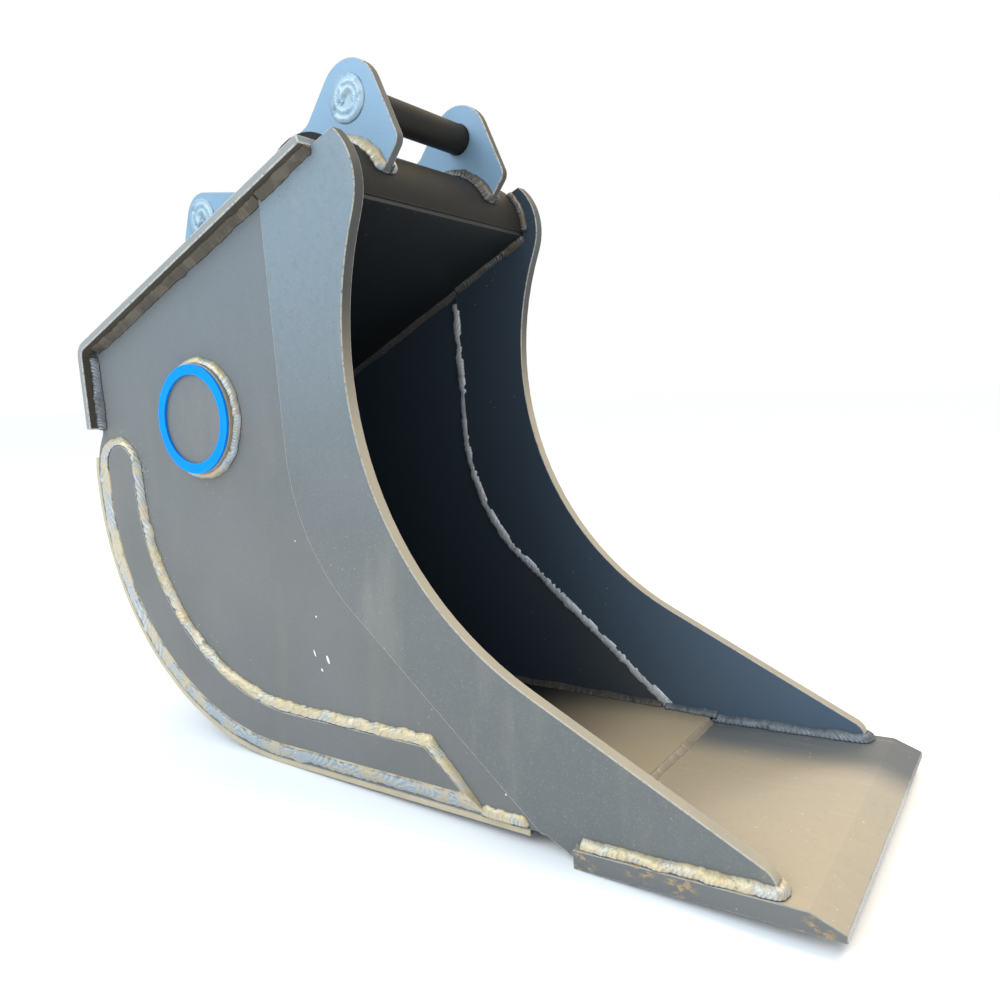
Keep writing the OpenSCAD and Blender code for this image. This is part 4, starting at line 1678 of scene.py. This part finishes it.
class Sky(Tree):
    """The room's own light: white all round, with soft lobes that are warmer, bluer or dimmer."""

    def __init__(self) -> None:
        """Starts a world."""
        self.world = bpy.data.worlds.new("pale_room")
        self.world.use_nodes = True
        super().__init__(self.world.node_tree)
        self.way = self.node("ShaderNodeTexCoord").outputs["Generated"]

    def lobe(self, azimuth: float, elevation: float, inner: float, outer: float) -> Field:
        """One near a direction and zero away from it.

        Args:
            azimuth: The direction's angle from forward, in degrees.
            elevation: Its angle above the horizon.
            inner: How far from it the light is full, in degrees.
            outer: How far from it the light ends.

        Returns:
            The lobe.
        """
        flat, (high, low) = way(azimuth), way(elevation)[::-1]
        aim = (flat[0] * low, flat[1] * low, high)
        dot = self.node("ShaderNodeVectorMath", {"operation": "DOT_PRODUCT"}, {0: self.way, 1: aim})
        edge = [math.cos(math.radians(a)) for a in (outer, inner)]
        return Field(self, dot.outputs["Value"]).between(*edge)

    def build(self) -> bpy.types.World:
        """Paints the lobes.

        Returns:
            The world.
        """
        glow = self.blend(self.lobe(-20, 50, 10, 50), (1.0, 1.0, 1.0), (0.55, 0.57, 0.6))
        glow = self.blend(self.lobe(235, 40, 10, 60), glow, (0.95, 1.2, 1.45))
        glow = self.blend(self.lobe(100, 48, 8, 30), glow, (2.0, 1.6, 1.05))
        self.feed(self.tree.nodes["Background"], {"Color": glow, "Strength": 1.0})
        return self.world


@dataclass
class Studio:
    """The pale floor, the soft lights and the camera."""

    eye: tuple[float, float, float] = (155.4, -863.5, 447.1)
    yaw: float = 34.876
    pitch: float = 5.69
    roll: float = -4.64
    focal: float = 0.83319
    sensor: float = 36.0
    floor_half: float = 30.0

    def camera(self, rest: Rest) -> None:
        """Stands the camera where the photograph was taken.

        Args:
            rest: The way into the frame.
        """
        yaw, pitch, roll = (math.radians(a) for a in (self.yaw, self.pitch, self.roll))
        ahead = Vector((-math.sin(yaw) * math.cos(pitch), math.cos(yaw) * math.cos(pitch), -math.sin(pitch)))
        right = Vector((math.cos(yaw), math.sin(yaw), 0))
        up = right.cross(ahead)
        aside = math.cos(roll) * right + math.sin(roll) * up
        above = -math.sin(roll) * right + math.cos(roll) * up
        data = bpy.data.cameras.new("photo_camera")
        data.sensor_width = self.sensor
        data.lens = self.focal * self.sensor
        data.clip_start, data.clip_end = 0.02, 200
        camera = bpy.data.objects.new("photo_camera", data)
        bpy.context.scene.collection.objects.link(camera)
        axes = Matrix([rest.vector(aside), rest.vector(above), -rest.vector(ahead)]).transposed()
        camera.matrix_world = Matrix.Translation(Vector(rest(np.array(self.eye)))) @ axes.to_4x4()
        bpy.context.scene.camera = camera

    def light(self, name: str, at: Point, aim: Point, size: float, watts: float, colour: Colour) -> None:
        """Hangs one soft box.

        Args:
            name: The light's name.
            at: Where it hangs.
            aim: What it points at.
            size: Its width.
            watts: Its power.
            colour: Its colour.
        """
        data = bpy.data.lights.new(name, "AREA")
        data.size, data.energy, data.color, data.shape = size, watts, colour, "DISK"
        lamp = bpy.data.objects.new(name, data)
        bpy.context.scene.collection.objects.link(lamp)
        lamp.matrix_world = (
            Matrix.Translation(at) @ (Vector(aim) - Vector(at)).to_track_quat("-Z", "Y").to_matrix().to_4x4()
        )

    def build(self, rest: Rest, shop: PaintShop) -> None:
        """Sets the floor, the lights, the sky and the camera.

        Args:
            rest: The way into the frame.
            shop: The finishes.
        """
        self.camera(rest)
        h = self.floor_half
        mesh = bpy.data.meshes.new("studio_floor")
        mesh.from_pydata([(-h, -h, 0), (h, -h, 0), (h, h, 0), (-h, h, 0)], [], [(0, 1, 2, 3)])
        mesh.materials.append(shop.floor)
        floor = bpy.data.objects.new("studio_floor", mesh)
        bpy.context.scene.collection.objects.link(floor)
        middle = (0, 0, 0.4)
        self.light("key_softbox", (1.3, 0.6, 2.6), middle, 1.4, 42, (1.0, 0.9, 0.75))
        self.light("sky_softbox", (-1.6, -1.6, 2.6), middle, 1.6, 26, (0.7, 0.86, 1.0))
        self.light("side_softbox", (-1.1, -2.7, 2.1), (0, 0, 0.6), 2.0, 40, (1.0, 0.98, 0.94))
        bpy.context.scene.world = Sky().build()
        bpy.context.scene.view_settings.view_transform = "Standard"


def main() -> None:
    """Builds the bucket's looks and its studio."""
    logging.basicConfig(level=logging.INFO, format="%(name)s: %(message)s")
    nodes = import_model()["nodes"]
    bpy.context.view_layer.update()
    sizes = Sizes()
    rest = Rest(sizes, nodes["cutting_edge"].data.vertices)
    shop = PaintShop()
    Studio().build(rest, shop)
    welder = Welder(rest, shop)
    Shell(sizes).build(shop)
    for part in (BladeAndFloor(sizes), Flanks(sizes), Hitch(sizes), Badge(sizes)):
        part.build(shop, welder)


if __name__ == "__main__":
    main()
